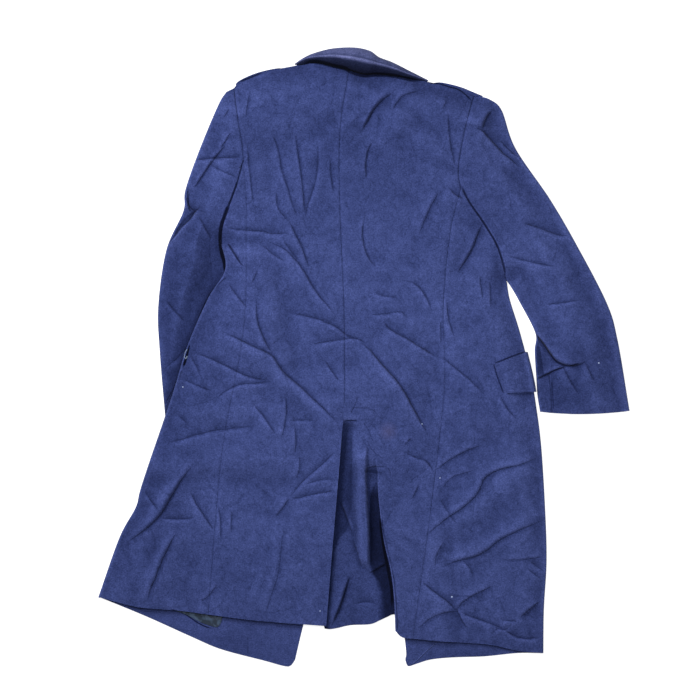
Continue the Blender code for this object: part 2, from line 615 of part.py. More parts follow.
def collar_grid():
    """Collar that stands up from the neck seam and falls away beyond its ridge to the floor."""
    neck = edge((NECK_LEFT, COLUMNS_NECK), (NECK_RIGHT, COLUMNS_SHOULDER))
    seam = []
    for a, b in zip(neck, neck[1:]):
        seam += [a, a.lerp(b, 0.5)]
    seam.append(neck[-1])
    ridge = spaced(rounded([(x, y) for x, y, _, _, _ in COLLAR_SECTIONS]), len(seam) - 1)
    outer = spaced(rounded([(x, y) for _, _, _, x, y in COLLAR_SECTIONS]), len(seam) - 1)
    heights = [(row[0], row[2] * CM) for row in COLLAR_SECTIONS]
    off_seam = Vector((0.0, CLOTH / 2 + COLLAR_GAP))
    grid = []
    for base, top, silhouette in zip(seam, ridge, outer):
        foot = base + off_seam
        height = table_value(heights, top.x / CM)
        foot_height = top_height(base.x, base.y)
        line = []
        for way, share in COLLAR_PROFILE:
            place = foot.lerp(top, way) if way <= 1.0 else top.lerp(silhouette, way - 1.0)
            low = foot_height if way <= 1.0 else CLOTH / 2
            first = COLLAR_PROFILE[0][1]
            rise = (share - first) / (1.0 - first) if way <= 1.0 else share
            line.append(Vector((place.x, place.y, mix(low, max(height, low), rise))))
        grid.append(line)
    return grid


def strap_grid(side):
    """Shoulder strap: flat strip under the shoulder that shows a little past it, with a rounded end."""
    shoulder = rounded(SHOULDER_LEFT if side == "left" else SHOULDER_RIGHT[::-1])
    start, end, shows_start, shows_end = STRAPS[side]
    line = spaced(shoulder, SHOULDER_STEPS)
    away = Vector((-line[-1].y + line[0].y, line[-1].x - line[0].x)).normalized()
    if away.y < 0:
        away = -away
    grid = []
    for i in range(COLUMNS_STRAP + 1):
        t = i / COLUMNS_STRAP
        place = line[round(mix(start, end, t) * SHOULDER_STEPS)]
        shows = mix(shows_start, shows_end, t) * CM
        turned = clamp((t - STRAP_ROUND_FROM) / (1.0 - STRAP_ROUND_FROM))
        half = STRAP_WIDTH / 2 * math.sqrt(1.0 - STRAP_ROUNDING * turned ** 2)
        middle = place + away * (shows - STRAP_WIDTH / 2)
        row = []
        for j in range(ROWS_STRAP + 1):
            p = middle + away * (half * (1.0 - 2.0 * j / ROWS_STRAP))
            row.append(Vector((p.x, p.y, CLOTH / 2)))
        grid.append(row)
    return grid


def flap_grid(side):
    """Pocket flap: the front's own surface moved out by one layer, round the side edge."""
    left = side == "left"
    outward = -1.0 if left else 1.0
    floor_height = floor_left if left else floor_right
    reach, upper, lower = FLAPS[side]
    inset = FOLD_RADIUS + CLOTH / 2
    turn_radius = FOLD_RADIUS + LAYER + 3 * SLACK
    shares = [step / COLUMNS_FLAP for step in range(COLUMNS_FLAP + 1)]
    grid = []
    for i in range(ROWS_FLAP + 1):
        v = i / ROWS_FLAP
        y_end, y_side, y_floor = (mix(a, b, v) * CM for a, b in zip(upper, lower))
        end = mix(reach[0], reach[1], v) * CM
        side_x = x_at(LINES["side_" + side], y_side) - outward * inset
        top, under = [], []
        for share in shares[::-1]:
            y = mix(y_side, y_end, share)
            x = x_at(LINES["side_" + side], y) - outward * (inset + (end - inset) * share)
            top.append(Vector((x, y, top_height(x, y) + LAYER + 2 * SLACK)))
        for share in shares:
            y = mix(y_side, y_floor, share)
            x = x_at(LINES["side_" + side], y) - outward * (inset + FLAP_LENGTH_UNDER * share)
            under.append(Vector((x, y, floor_height(x, y) - LAYER - SLACK)))
        middle = (top[-1].z + under[0].z) / 2
        half = (top[-1].z - under[0].z) / 2
        turn = []
        for step in range(1, FLAP_FOLD_STEPS):
            angle = math.pi * (step / FLAP_FOLD_STEPS - 0.5)
            x = side_x + outward * turn_radius * math.cos(angle)
            turn.append(Vector((x, y_side, middle - half * math.sin(angle))))
        grid.append(top + turn + under if reach[0] > 0.0 else under)
    return grid


def underlap_grid():
    """Underlap of the vent, which lies on both fronts and under both back edges."""
    top = [Vector((x * CM, y * CM)) for x, y in (UNDERLAP_EDGE_LEFT[0], UNDERLAP_EDGE_RIGHT[0])]
    plan = patch(edge((UNDERLAP_EDGE_LEFT, ROWS_UNDERLAP)), edge((UNDERLAP_EDGE_RIGHT, ROWS_UNDERLAP)),
                 spaced(top, COLUMNS_UNDERLAP), edge((UNDERLAP_HEM, COLUMNS_UNDERLAP)))
    return [[Vector((p.x, p.y, underlap_height(p.x, p.y))) for p in row] for row in plan]


def lining_grid():
    """Piece of lining on the left front, seen between its hem and the hem above it."""
    top = spaced([Vector((x * CM, y * CM)) for x, y in LINING_TOP], COLUMNS_LINING)
    bottom = spaced([Vector((x * CM, y * CM)) for x, y in LINING_BOTTOM], COLUMNS_LINING)
    rise = (CLOTH + LINING) / 2 + SEAM_GAP
    grid = []
    for i in range(ROWS_LINING + 1):
        row = [a.lerp(b, i / ROWS_LINING) for a, b in zip(top, bottom)]
        grid.append([Vector((p.x, p.y, floor_left(p.x, p.y) + rise)) for p in row])
    return grid


def main():
    for old in list(bpy.data.objects):
        bpy.data.objects.remove(old)
    coat = bpy.data.collections.new("overcoat")
    bpy.context.scene.collection.children.link(coat)

    wool = material("navy_wool", (0.045, 0.062, 0.19), 0.9)
    under_collar = material("navy_collar_wool", (0.047, 0.06, 0.2), 0.9)
    lining = material("dark_lining", (0.02, 0.03, 0.035), 0.6)

    wall("vent_underlap", underlap_grid(), wool, coat)
    wall("collar", collar_grid(), under_collar, coat)
    wall("lining_left", lining_grid(), lining, coat, LINING)
    for side in ("left", "right"):
        wall("back_" + side, back_panel(side), wool, coat)
        wall("front_" + side, front_panel(side), wool, coat)
        top_sleeve, under_sleeve = sleeve_panels(side)
        wall("top_sleeve_" + side, top_sleeve, wool, coat)
        wall("under_sleeve_" + side, under_sleeve, wool, coat)
        wall("shoulder_strap_" + side, strap_grid(side), wool, coat)
        wall("pocket_flap_" + side, flap_grid(side), wool, coat)


main()
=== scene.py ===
"""Looks of a knee-length military-style wool overcoat that lies flat on its front, seen from straight above.

Every cloth piece is a thin shell on its solid's form: the same cuts and the same stack of cloths in finer
rows, with the listed creases laid on.  Plan places are in centimetres, x to the right and y to the collar.
"""

import math

import bpy
import numpy as np
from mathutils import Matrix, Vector


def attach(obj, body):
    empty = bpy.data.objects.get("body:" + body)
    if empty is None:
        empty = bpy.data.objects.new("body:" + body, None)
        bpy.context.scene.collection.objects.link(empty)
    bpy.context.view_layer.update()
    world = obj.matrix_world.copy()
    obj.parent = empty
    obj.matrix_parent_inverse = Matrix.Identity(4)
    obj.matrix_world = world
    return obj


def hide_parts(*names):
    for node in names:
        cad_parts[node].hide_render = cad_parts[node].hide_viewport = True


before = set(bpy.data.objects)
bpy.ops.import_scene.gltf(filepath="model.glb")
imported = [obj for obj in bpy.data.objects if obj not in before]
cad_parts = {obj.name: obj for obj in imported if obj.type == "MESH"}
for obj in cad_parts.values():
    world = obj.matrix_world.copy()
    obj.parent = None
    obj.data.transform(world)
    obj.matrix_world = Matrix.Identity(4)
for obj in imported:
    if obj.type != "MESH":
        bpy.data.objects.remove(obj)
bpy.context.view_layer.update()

CM = 0.01
MM = 0.001

# Sizes: cloths, gaps and folds as in the solids, then how far lifts and slopes reach
CLOTH = 2.5 * MM
LINING = 1.0 * MM
SEAM_GAP = 0.3 * MM
LAYER = CLOTH + SEAM_GAP
FOLD_RADIUS = 2.2 * MM
SLEEVE_UNDER = 2 * FOLD_RADIUS + CLOTH + SEAM_GAP
RAMP = 5.0 * CM
OVERHANG = 4.5 * CM
LOFT_REACH = 5.0 * CM
PRESSED_BAND = 1.5 * CM
SLACK = 0.5 * MM
LEAST_LOFT = 0.2 * MM
HEAD_REACH = 5.0 * CM
STRAP_PAST_SLEEVE = 1.8 * CM
LIFT_START = 0.8 * CM
LIFT_REACH = 3.6 * CM
STRAP_WIDTH = 4.6 * CM
FLAP_LENGTH_UNDER = 8.0 * CM
# Sag of the right cuff: its middle and half width in cm, and its depth
SAG_MIDDLE, SAG_HALF_WIDTH, SAG_DEPTH = 40.4, 8.2, 0.45 * CM
# Shoulder straps: share of the length at which the end starts to round, and how much
STRAP_ROUND_FROM = 0.75
STRAP_ROUNDING = 0.75

# Plan outlines and seams: (x, y) in cm
SHOULDER = {
    "left": [(-24.0, 49.5), (-22.7, 50.8), (-18.8, 52.4), (-12.3, 53.7)],
    "right": [(11.3, 50.7), (14.6, 50.0), (17.4, 49.1), (19.9, 47.9)],
}
NECK = {
    "left": [(-12.3, 53.7), (-9.2, 54.2), (-5.7, 53.5), (-2.9, 52.8)],
    "right": [(-2.9, 52.8), (-0.2, 52.1), (3.5, 52.0), (11.3, 50.7)],
}
ARMHOLE_UPPER = {
    "left": [(-24.0, 49.5), (-23.2, 43.6), (-22.3, 36.7)],
    "right": [(19.9, 47.9), (18.3, 41.8), (17.2, 35.5), (17.6, 31.2)],
}
ARMHOLE_LOWER = {
    "left": [(-22.8, 35.2), (-23.8, 30.8), (-25.6, 26.0), (-26.5, 21.7)],
    "right": [(18.4, 29.9), (21.2, 25.6), (24.2, 20.6), (26.0, 14.0)],
}
SIDE_SEAM_UPPER = {
    "left": [(-22.3, 36.7), (-21.7, 29.0), (-21.7, 21.7)],
    "right": [(17.6, 31.2), (15.8, 24.0), (14.8, 16.0)],
}
SIDE_SEAM_LOWER = {
    "left": [(-21.7, 21.7), (-21.8, 10.7), (-22.7, 1.4), (-26.2, -17.8), (-28.7, -46.9)],
    "right": [(14.8, 16.0), (14.3, 7.0), (14.5, -6.0), (12.1, -27.7), (8.8, -51.3)],
}
SIDE_EDGE = {
    "left": [(-26.5, 21.7), (-25.6, 16.4), (-28.7, 11.1), (-32.6, 2.1), (-35.3, -6.7), (-40.8, -22.8),
             (-42.0, -27.2), (-45.0, -32.8), (-48.9, -43.8)],
    "right": [(26.0, 14.0), (26.6, 10.6), (28.4, 4.8), (30.4, -3.0), (31.4, -9.0), (32.3, -16.0),
              (33.0, -27.0), (33.3, -36.9), (32.8, -46.0), (32.7, -54.0)],
}
CENTRE_SEAM = [(-2.9, 52.8), (-4.5, 42.0), (-4.6, 29.0), (-3.8, 9.0), (-3.7, -7.6)]
VENT_EDGE = [(-3.7, -7.6), (-4.9, -22.2), (-6.2, -37.8), (-7.1, -49.0)]
HEM_SIDE = {
    "left": [(-48.9, -43.8), (-42.0, -45.5), (-34.0, -46.2), (-28.7, -46.9)],
    "right": [(8.8, -51.3), (13.9, -51.8), (22.6, -52.4), (28.5, -53.6), (32.7, -54.0)],
}
HEM_BACK = [(-28.7, -46.9), (-20.0, -48.0), (-7.1, -49.0)]
FRONT_EDGE = {
    "left": [(-12.3, 53.7), (6.4, 39.1), (9.7, 29.0), (5.5, 5.2), (-3.7, -29.6), (-10.0, -44.5),
             (-11.4, -49.3), (-12.8, -55.2)],
    "right": [(11.3, 50.7), (-6.4, 36.3), (-8.6, 27.2), (-4.6, 3.4), (4.2, -29.6), (7.3, -51.5),
              (7.4, -55.3)],
}
HEM_FRONT = {
    "left": [(-48.9, -43.8), (-40.3, -47.3), (-32.0, -51.0), (-26.5, -53.3), (-18.5, -55.4), (-14.8, -56.4),
             (-13.6, -56.3), (-12.8, -55.2)],
    "right": [(32.7, -54.0), (28.2, -54.0), (22.1, -54.6), (16.2, -54.8), (12.1, -55.2), (9.4, -56.0),
              (7.9, -56.4), (7.4, -55.3)],
}
SLEEVE_OUTER = {
    "left": [(-25.4, 48.8), (-26.8, 46.6), (-30.0, 39.1), (-32.9, 31.0), (-33.3, 27.0), (-36.4, 19.9),
             (-37.9, 9.5), (-37.6, 1.0), (-36.7, -9.8), (-36.4, -13.5)],
    "right": [(21.0, 48.0), (23.0, 47.4), (25.1, 45.4), (27.6, 38.5), (33.9, 29.2), (38.8, 20.8),
              (44.3, 10.2), (46.3, 3.4), (48.5, -9.6)],
}
SLEEVE_INNER = {
    "left": [(-26.3, 21.6), (-25.4, 20.2), (-24.6, 18.3), (-23.9, 15.6), (-22.9, 10.7), (-21.4, -0.3),
             (-20.6, -13.5)],
    "right": [(26.6, 13.4), (28.2, 10.6), (31.2, 4.7), (31.1, 1.4), (31.4, -3.6), (31.6, -6.7), (32.1, -9.8)],
}
BACK_SEAM_UPPER = {
    "left": [(-22.3, 36.7), (-25.4, 30.0), (-28.4, 21.4)],
    "right": [(17.6, 31.2), (22.6, 26.4), (28.4, 15.6)],
}
BACK_SEAM_LOWER = {
    "left": [(-28.4, 21.4), (-27.4, 10.0), (-24.6, -1.0), (-23.0, -13.5)],
    "right": [(28.4, 15.6), (30.6, 10.4), (33.6, 3.5), (34.2, -9.8)],
}
FOREARM_SEAM_UPPER = {
    "left": [(-22.3, 36.7), (-26.4, 30.0), (-29.6, 21.4)],
    "right": [(17.6, 31.2), (23.6, 26.6), (30.2, 16.2)],
}
FOREARM_SEAM_LOWER = {
    "left": [(-29.6, 21.4), (-28.9, 8.0), (-26.4, -13.5)],
    "right": [(30.2, 16.2), (34.8, 5.5), (37.8, -9.8)],
}
UNDERLAP_EDGE = {
    "left": [(-6.2, -9.8), (-7.4, -22.2), (-8.7, -37.8), (-9.4, -48.2)],
    "right": [(0.6, -9.8), (5.2, -21.0), (7.4, -40.5), (8.2, -49.0)],
}

# Collar sections from the left neck point to the right one, in cm: the ridge nearest the eye with its
# height, and the outer silhouette
COLLAR_SECTIONS = [
    # ridge x, ridge y, ridge z, outer x, outer y
    (-12.8, 53.9, 1.0, -12.9, 54.0),
    (-11.2, 54.8, 2.0, -11.4, 55.0),
    (-9.2, 55.2, 2.8, -9.5, 55.9),
    (-5.6, 55.3, 3.7, -6.0, 56.8),
    (-1.9, 54.8, 4.0, -2.0, 57.0),
    (0.8, 54.2, 4.0, 0.9, 56.4),
    (2.6, 53.8, 3.6, 2.6, 55.2),
    (4.9, 53.2, 3.2, 5.0, 54.3),
    (8.0, 52.1, 2.4, 8.2, 52.7),
    (11.5, 50.9, 1.0, 11.6, 51.0),
]
# Across the collar: share of the way from seam to ridge (0 to 1) and on to the silhouette (1 to 2),
# and the height as a share of the ridge's
COLLAR_PROFILE = [
    # way, height
    (0.0, 0.0), (0.06, 0.22), (0.22, 0.45), (0.5, 0.7), (0.78, 0.9), (0.92, 0.985), (1.0, 1.0), (1.07, 0.97),
    (1.16, 0.9), (1.35, 0.87), (1.6, 0.76), (1.84, 0.55), (1.97, 0.3), (1.94, 0.0),
]
# Tones of painted shade and light at the collar's seam, at the end of its inside, on the ridge (a painted
# highlight) and beyond it
COLLAR_TONES = (0.12, 0.27, 1.2, 0.84)
# Ways across the collar: where its painted-shade inside ends, over how much the paint lightens to the ridge's
# painted highlight, and where and over how much it darkens beyond it
COLLAR_INSIDE, COLLAR_LIGHTENS = 0.72, 0.24
COLLAR_DARKENS = (1.02, 0.2)
COLLAR_FOOT = 0.15 * CM

# Shoulder straps lie under the shoulders: first and last place along the shoulder (0 at the sleeve,
# 1 at the neck) and how far they show past the shoulder at each end, in cm
STRAPS = {
    # side: start, end, shows at start, shows at end
    "left": (0.05, 0.88, 0.3, 0.2),
    "right": (-0.17, 0.98, 0.95, 0.3),
}

# Pocket flaps, in cm: how far the upper and lower edge reach onto the top side, then the y of each
# edge at its end there, at the side of the coat and at its end on the floor side
FLAPS = {
    # side: reaches, y of the upper edge, y of the lower edge
    "left": ((0.0, 0.0), (2.2, 2.0, 3.4), (-4.0, -4.2, -3.0)),
    "right": ((6.3, 5.2), (-1.2, 1.2, 3.6), (-6.3, -6.1, -5.0)),
}

# Lining that shows between the left hem and the front below it: corners in cm
LINING_TOP = [(-35.6, -44.4), (-24.5, -45.2)]
LINING_BOTTOM = [
    (-35.6, -46.0), (-33.4, -46.7), (-31.8, -47.4), (-30.2, -48.3), (-28.6, -48.9), (-27.1, -49.2),
    (-26.4, -48.4), (-26.1, -47.0),
]

# How far the coat fills out above the cloths below, by height on the coat: (y cm, loft mm)
LOFT_ALONG = [
    (-56.0, 2.5), (-44.0, 4.5), (-20.0, 7.0), (5.0, 9.0), (30.0, 12.0), (46.0, 11.0), (54.0, 8.0),
]
SLEEVE_LOFT_ALONG = [(-14.0, 5.0), (0.0, 7.0), (20.0, 9.0), (50.0, 11.0)]

# The largest folds: (x0, y0, x1, y1) in cm, half width in cm, height in mm (below zero a trough)
FOLDS = [
    # x0, y0, x1, y1, half width, height
    (5.5, 48.8, -0.9, 41.0, 2.2, -3.2),
    (7.8, 46.4, 1.4, 38.5, 2.2, 2.6),
    (-26.9, 5.4, -4.2, -12.7, 2.6, 3.6),
    (-24.0, 1.2, -8.0, -11.5, 2.2, -2.6),
    (-1.5, 3.4, 11.5, -14.9, 2.4, 3.0),
    (3.1, 7.0, 13.4, 0.1, 2.0, -2.4),
    (-18.3, 21.7, -5.1, 7.4, 2.2, 2.4),
    (21.6, 25.0, 16.8, 15.3, 2.0, -2.6),
    (-31.1, -19.1, -43.9, -34.1, 2.4, 3.6),
    (-34.2, -31.4, -39.9, -45.1, 2.4, 3.0),
    (-14.6, -29.9, -18.3, -46.4, 2.8, 2.6),
    (33.0, -17.7, 10.4, -33.2, 2.8, 3.4),
    (33.0, -29.6, 13.7, -38.3, 2.4, 3.0),
    (-20.0, 42.0, -11.9, 24.9, 2.2, -2.0),
    (-28.5, -13.0, -19.6, -12.5, 2.4, -2.2),
    (-1.1, -16.7, 0.9, -39.0, 1.6, 6.5),
    (38.0, -0.5, 32.0, -3.8, 1.8, 2.6),
    (-30.8, 36.8, -22.3, 36.8, 1.8, -2.4),
    (29.0, 25.0, 37.5, 22.6, 1.8, -2.4),
]


# Creases laid on the folds above: height of the ridge in mm, width in cm, the side of the ridge as seen
# along the crease (1 right, -1 left), and the crease's line in cm
BODY_CREASES = [
    (4.0, 1.5, 1, [(5.5, 48.8), (3.7, 47.7), (1.8, 45.8), (0.4, 43.3), (-0.7, 41.3)]),
    (2.4, 1.2, 1, [(10.1, 49.1), (7.3, 48.2), (5.9, 46.8), (4.9, 45.1)]),
    (2.0, 1.4, 1, [(1.8, 40.0), (0.7, 38.2), (0.2, 35.4), (0.4, 32.7)]),
    (1.4, 1.2, 1, [(-21.0, 49.1), (-21.4, 46.4), (-21.8, 44.0)]),
    (1.6, 1.5, 1, [(-17.4, 42.3), (-15.9, 38.4), (-15.2, 34.5), (-14.3, 31.8), (-13.2, 28.1), (-11.9, 25.0)]),
    (1.7, 1.3, 1, [(-12.8, 41.8), (-12.3, 38.2), (-11.7, 34.5), (-11.3, 30.8), (-11.0, 27.5), (-10.8, 25.0)]),
    (1.4, 1.4, -1, [(-8.6, 40.0), (-8.6, 35.4), (-9.2, 31.8), (-10.4, 28.1), (-11.0, 25.0)]),
    (1.2, 0.8, 1, [(-16.2, 30.8), (-15.8, 27.4), (-13.5, 24.7)]),
    (1.2, 1.0, 1, [(-21.5, 40.0), (-21.0, 33.9), (-20.3, 27.4)]),
    (1.2, 1.2, 1, [(-6.4, 37.2), (-6.2, 33.6), (-5.7, 29.9)]),
    (2.2, 1.4, 1, [(-14.1, 25.7), (-12.6, 22.6), (-11.3, 19.9), (-10.1, 16.2)]),
    (2.0, 1.6, 1, [(13.7, 30.8), (12.3, 28.1), (11.0, 25.3), (9.9, 22.6)]),
    (1.2, 1.0, 1, [(15.0, 47.3), (14.3, 45.5)]),
    (2.2, 1.0, 1, [(15.2, 31.4), (16.5, 30.1), (18.3, 29.0)]),
    (1.6, 1.4, 1, [(0.0, 26.3), (-0.4, 22.6), (0.5, 18.9), (2.4, 16.2)]),
    (1.4, 1.4, 1, [(15.2, 45.5), (15.6, 40.0), (16.7, 34.5)]),
    (2.2, 1.2, 1, [(-25.6, 23.9), (-22.0, 23.5), (-18.8, 23.3), (-16.5, 22.8), (-13.7, 23.0)]),
    (2.4, 1.2, 1, [(-18.3, 21.7), (-14.6, 19.9), (-12.4, 17.7), (-11.0, 15.8), (-9.7, 13.5), (-8.2, 11.3),
                   (-6.4, 9.2), (-5.1, 7.4)]),
    (1.6, 1.0, 1, [(-18.8, 20.8), (-16.5, 18.9), (-14.6, 17.7)]),
    (1.6, 1.0, 1, [(-15.0, 21.7), (-13.4, 19.5), (-11.9, 17.7)]),
    (2.0, 0.9, 1, [(-25.1, 21.3), (-24.0, 19.5), (-22.7, 17.3)]),
    (1.2, 0.8, 1, [(-19.6, 16.2), (-20.7, 13.5)]),
    (1.6, 1.0, 1, [(-25.1, 13.8), (-23.2, 11.3), (-21.4, 9.2)]),
    (2.4, 1.2, 1, [(-14.1, 8.5), (-11.9, 8.0), (-8.6, 7.2), (-5.5, 5.9), (-3.3, 4.3), (-1.5, 3.6)]),
    (2.2, 1.2, 1, [(-10.1, 2.5), (-7.3, 3.0), (-3.7, 3.6), (-1.5, 3.6), (0.5, 2.5)]),
    (3.6, 1.6, 1, [(-26.9, 5.4), (-23.8, 3.9), (-20.1, 2.1), (-17.0, 0.5), (-15.6, -1.4), (-14.1, -3.2),
                   (-11.9, -5.0), (-9.2, -7.6), (-6.4, -10.3), (-4.2, -12.7)]),
    (2.4, 1.3, 1, [(-19.8, 10.7), (-19.6, 7.0), (-18.3, 3.4), (-16.7, 0.5)]),
    (1.4, 1.0, 1, [(-7.3, -0.3), (-5.9, -2.5), (-4.6, -4.3)]),
    (2.4, 1.2, 1, [(-31.7, 1.2), (-28.4, 0.1), (-24.7, -1.7), (-21.0, -3.4), (-17.4, -4.1)]),
    (1.8, 1.0, 1, [(-33.3, -3.6), (-30.6, -5.0), (-27.8, -6.1)]),
    (2.0, 1.2, 1, [(-27.4, -7.6), (-25.6, -6.1), (-22.9, -4.8), (-19.2, -4.5), (-16.5, -4.1)]),
    (1.4, 0.8, 1, [(-32.0, 0.6), (-30.9, -1.2), (-30.0, -3.4)]),
    (1.4, 0.9, 1, [(1.3, 12.2), (3.7, 11.4), (6.4, 11.1)]),
    (1.6, 0.9, 1, [(0.9, 8.0), (3.7, 8.1), (6.4, 8.5), (7.9, 7.4)]),
    (1.6, 1.1, 1, [(7.9, 14.4), (10.1, 12.9), (11.5, 10.7), (12.4, 8.5)]),
    (3.0, 1.3, 1, [(3.1, 7.0), (4.9, 5.2), (8.2, 3.4), (11.0, 1.6), (13.4, 0.1)]),
    (3.4, 1.5, 1, [(-1.5, 3.4), (0.9, 1.6), (3.3, -1.2), (5.5, -3.6), (7.3, -6.1), (8.6, -8.5), (10.1, -11.3),
                   (11.3, -13.5), (11.5, -14.9)]),
    (1.8, 1.3, 1, [(13.7, 0.6), (16.5, -1.7), (19.2, -3.9), (22.0, -6.7)]),
    (3.4, 1.5, 1, [(21.6, 25.0), (20.7, 22.6), (19.6, 19.9), (17.9, 17.1), (16.8, 15.3)]),
    (1.4, 1.0, 1, [(21.0, 15.3), (21.6, 10.7)]),
    (1.2, 1.0, 1, [(22.9, 14.4), (23.2, 8.9)]),
    (1.6, 1.1, 1, [(15.0, 11.1), (15.4, 7.0), (16.5, 3.4)]),
    (1.2, 0.9, 1, [(13.9, 7.0), (13.9, 2.5)]),
    (1.6, 1.0, 1, [(24.7, -6.7), (26.2, -9.4), (28.0, -11.3)]),
    (1.8, 1.0, 1, [(-20.7, -8.0), (-18.8, -10.2), (-17.4, -12.2), (-16.1, -14.2)]),
    (1.6, 0.9, 1, [(-13.7, -11.4), (-11.0, -11.3), (-9.2, -11.4)]),
    (1.6, 1.0, 1, [(-12.8, -12.2), (-12.6, -14.9), (-12.8, -17.7)]),
    (1.6, 1.0, 1, [(-14.6, -6.7), (-14.3, -9.4), (-14.8, -13.1), (-15.4, -14.9)]),
    (2.0, 2.2, 1, [(-37.1, -15.5), (-33.9, -14.9), (-30.2, -13.8), (-25.6, -12.9), (-19.6, -12.5)]),
    (1.4, 0.8, 1, [(-34.2, -10.3), (-32.4, -12.0)]),
    (4.0, 1.8, 1, [(-31.1, -19.1), (-33.5, -22.2), (-35.3, -25.0), (-37.1, -28.1), (-39.0, -30.3),
                   (-41.5, -32.3), (-43.9, -34.1)]),
    (1.6, 0.9, 1, [(-40.3, -24.1), (-39.0, -26.3), (-37.5, -28.1)]),
    (2.4, 1.2, 1, [(-32.0, -24.1), (-30.7, -26.8), (-28.9, -29.6), (-27.4, -31.8)]),
    (3.6, 1.8, 1, [(-34.2, -31.4), (-35.7, -34.1), (-37.1, -36.9), (-38.1, -39.6), (-39.3, -42.4),
                   (-39.9, -45.1)]),
    (2.0, 1.2, 1, [(-37.5, -29.2), (-33.9, -29.4), (-31.1, -29.2)]),
    (2.6, 1.2, 1, [(-13.7, -25.9), (-11.0, -25.2), (-8.2, -24.6), (-5.3, -24.2)]),
    (2.0, 1.2, 1, [(-13.7, -25.5), (-15.0, -27.4), (-16.5, -29.2)]),
    (1.6, 1.0, 1, [(-11.0, -23.1), (-8.2, -22.2), (-5.5, -22.1)]),
    (2.0, 1.4, 1, [(-13.7, -25.5), (-12.3, -23.5), (-10.1, -21.3), (-7.3, -18.9), (-5.1, -16.7)]),
    (1.4, 1.0, 1, [(-11.9, -17.7), (-11.9, -20.4), (-12.8, -22.2)]),
    (1.5, 3.0, 1, [(-14.6, -29.9), (-15.2, -34.1), (-15.9, -39.6), (-17.4, -44.2), (-18.3, -47.5)]),
    (1.6, 1.0, 1, [(-26.9, -26.8), (-26.4, -29.6), (-26.4, -33.2)]),
    (1.4, 1.0, 1, [(-24.3, -27.7), (-24.5, -32.3)]),
    (1.4, 1.0, 1, [(-26.9, -41.4), (-28.7, -43.6), (-30.2, -44.7)]),
    (2.2, 1.2, 1, [(21.6, -15.8), (18.3, -17.1), (15.6, -18.6), (13.7, -20.0), (12.8, -21.0)]),
    (3.0, 1.4, 1, [(32.9, -17.7), (28.4, -19.5), (24.7, -20.4), (22.0, -21.9), (21.0, -24.1), (19.6, -25.9),
                   (17.4, -27.7), (14.6, -29.6), (11.9, -31.8), (10.4, -33.2)]),
    (2.0, 1.1, 1, [(7.3, -17.1), (9.5, -18.2), (11.3, -18.9), (12.8, -21.0)]),
    (1.2, 0.8, 1, [(8.6, -14.5), (7.3, -15.8)]),
    (1.4, 0.9, 1, [(20.1, -20.4), (15.9, -21.9), (14.1, -24.1)]),
    (3.0, 1.4, 1, [(32.9, -29.6), (28.4, -31.4), (24.7, -33.2), (22.5, -35.0), (20.1, -36.3), (16.5, -37.2),
                   (13.7, -38.3)]),
    (1.4, 1.0, 1, [(32.9, -36.3), (28.4, -36.9), (24.7, -36.9)]),
    (1.6, 0.8, 1, [(30.2, -37.2), (32.9, -39.1)]),
    (1.4, 1.0, 1, [(14.6, -33.2), (13.2, -36.0), (12.8, -38.3)]),
    (3.2, 1.2, 1, [(10.4, -40.9), (13.0, -42.9), (15.2, -44.6), (16.8, -46.2)]),
    (3.4, 1.0, -1, [(16.7, -45.7), (17.6, -47.7), (18.8, -49.5)]),
    (2.6, 1.0, 1, [(23.6, -41.6), (21.4, -42.7), (19.6, -43.6), (17.9, -44.7), (16.7, -46.2)]),
    (3.2, 1.0, 1, [(32.2, -44.4), (30.6, -45.7), (29.3, -46.8), (28.2, -47.7)]),
    (1.6, 0.8, 1, [(24.7, -47.9), (26.2, -48.0), (28.0, -48.2)]),
    (2.0, 0.8, 1, [(23.1, -50.6), (24.3, -49.5), (25.4, -49.7), (26.7, -49.1)]),
    (2.4, 1.0, 1, [(25.3, -49.3), (26.9, -50.6), (29.3, -51.3), (32.2, -51.1)]),
    (2.0, 1.2, 1, [(17.2, -46.4), (20.1, -47.5), (23.2, -48.6), (25.8, -49.7)]),
    (1.8, 1.2, -1, [(9.7, -49.5), (12.3, -47.5), (14.8, -46.6), (17.0, -46.4)]),
    (1.6, 0.8, 1, [(29.6, -38.3), (30.9, -39.4), (32.4, -40.5)]),
    (1.4, 0.8, 1, [(17.8, -36.9), (19.2, -38.3), (19.9, -40.2)]),
    (1.2, 1.0, 1, [(10.1, -22.8), (8.6, -25.9)]),
    (1.4, 0.9, 1, [(13.7, -25.5), (15.2, -28.1), (17.0, -30.5)]),
]
VENT_CREASES = [
    (2.2, 0.9, 1, [(-2.7, -10.3), (-1.8, -8.5), (-1.3, -6.7)]),
    (2.0, 0.9, -1, [(-2.6, -9.1), (0.0, -9.1), (1.3, -9.4), (2.6, -10.2)]),
    (2.2, 0.8, -1, [(-4.2, -11.5), (-1.6, -11.4)]),
    (2.4, 0.9, -1, [(-4.6, -25.9), (-3.4, -29.0), (-2.3, -32.3)]),
    (1.8, 0.8, -1, [(-2.2, -33.2), (-1.3, -36.0), (-0.5, -38.7)]),
    (2.2, 0.9, -1, [(0.8, -39.5), (2.6, -38.4), (4.6, -37.2)]),
    (4.0, 1.0, 1, [(-2.8, -39.8), (-3.6, -42.4), (-4.2, -44.6), (-5.1, -47.0), (-6.2, -49.3)]),
    (1.4, 0.8, 1, [(-2.2, -45.0), (0.5, -44.6), (2.4, -45.2)]),
    (2.4, 0.9, -1, [(-0.4, -20.4), (1.8, -19.8), (4.2, -20.0), (4.7, -22.0)]),
    (1.6, 0.8, 1, [(0.4, -15.0), (1.6, -17.0), (3.6, -18.6)]),
]
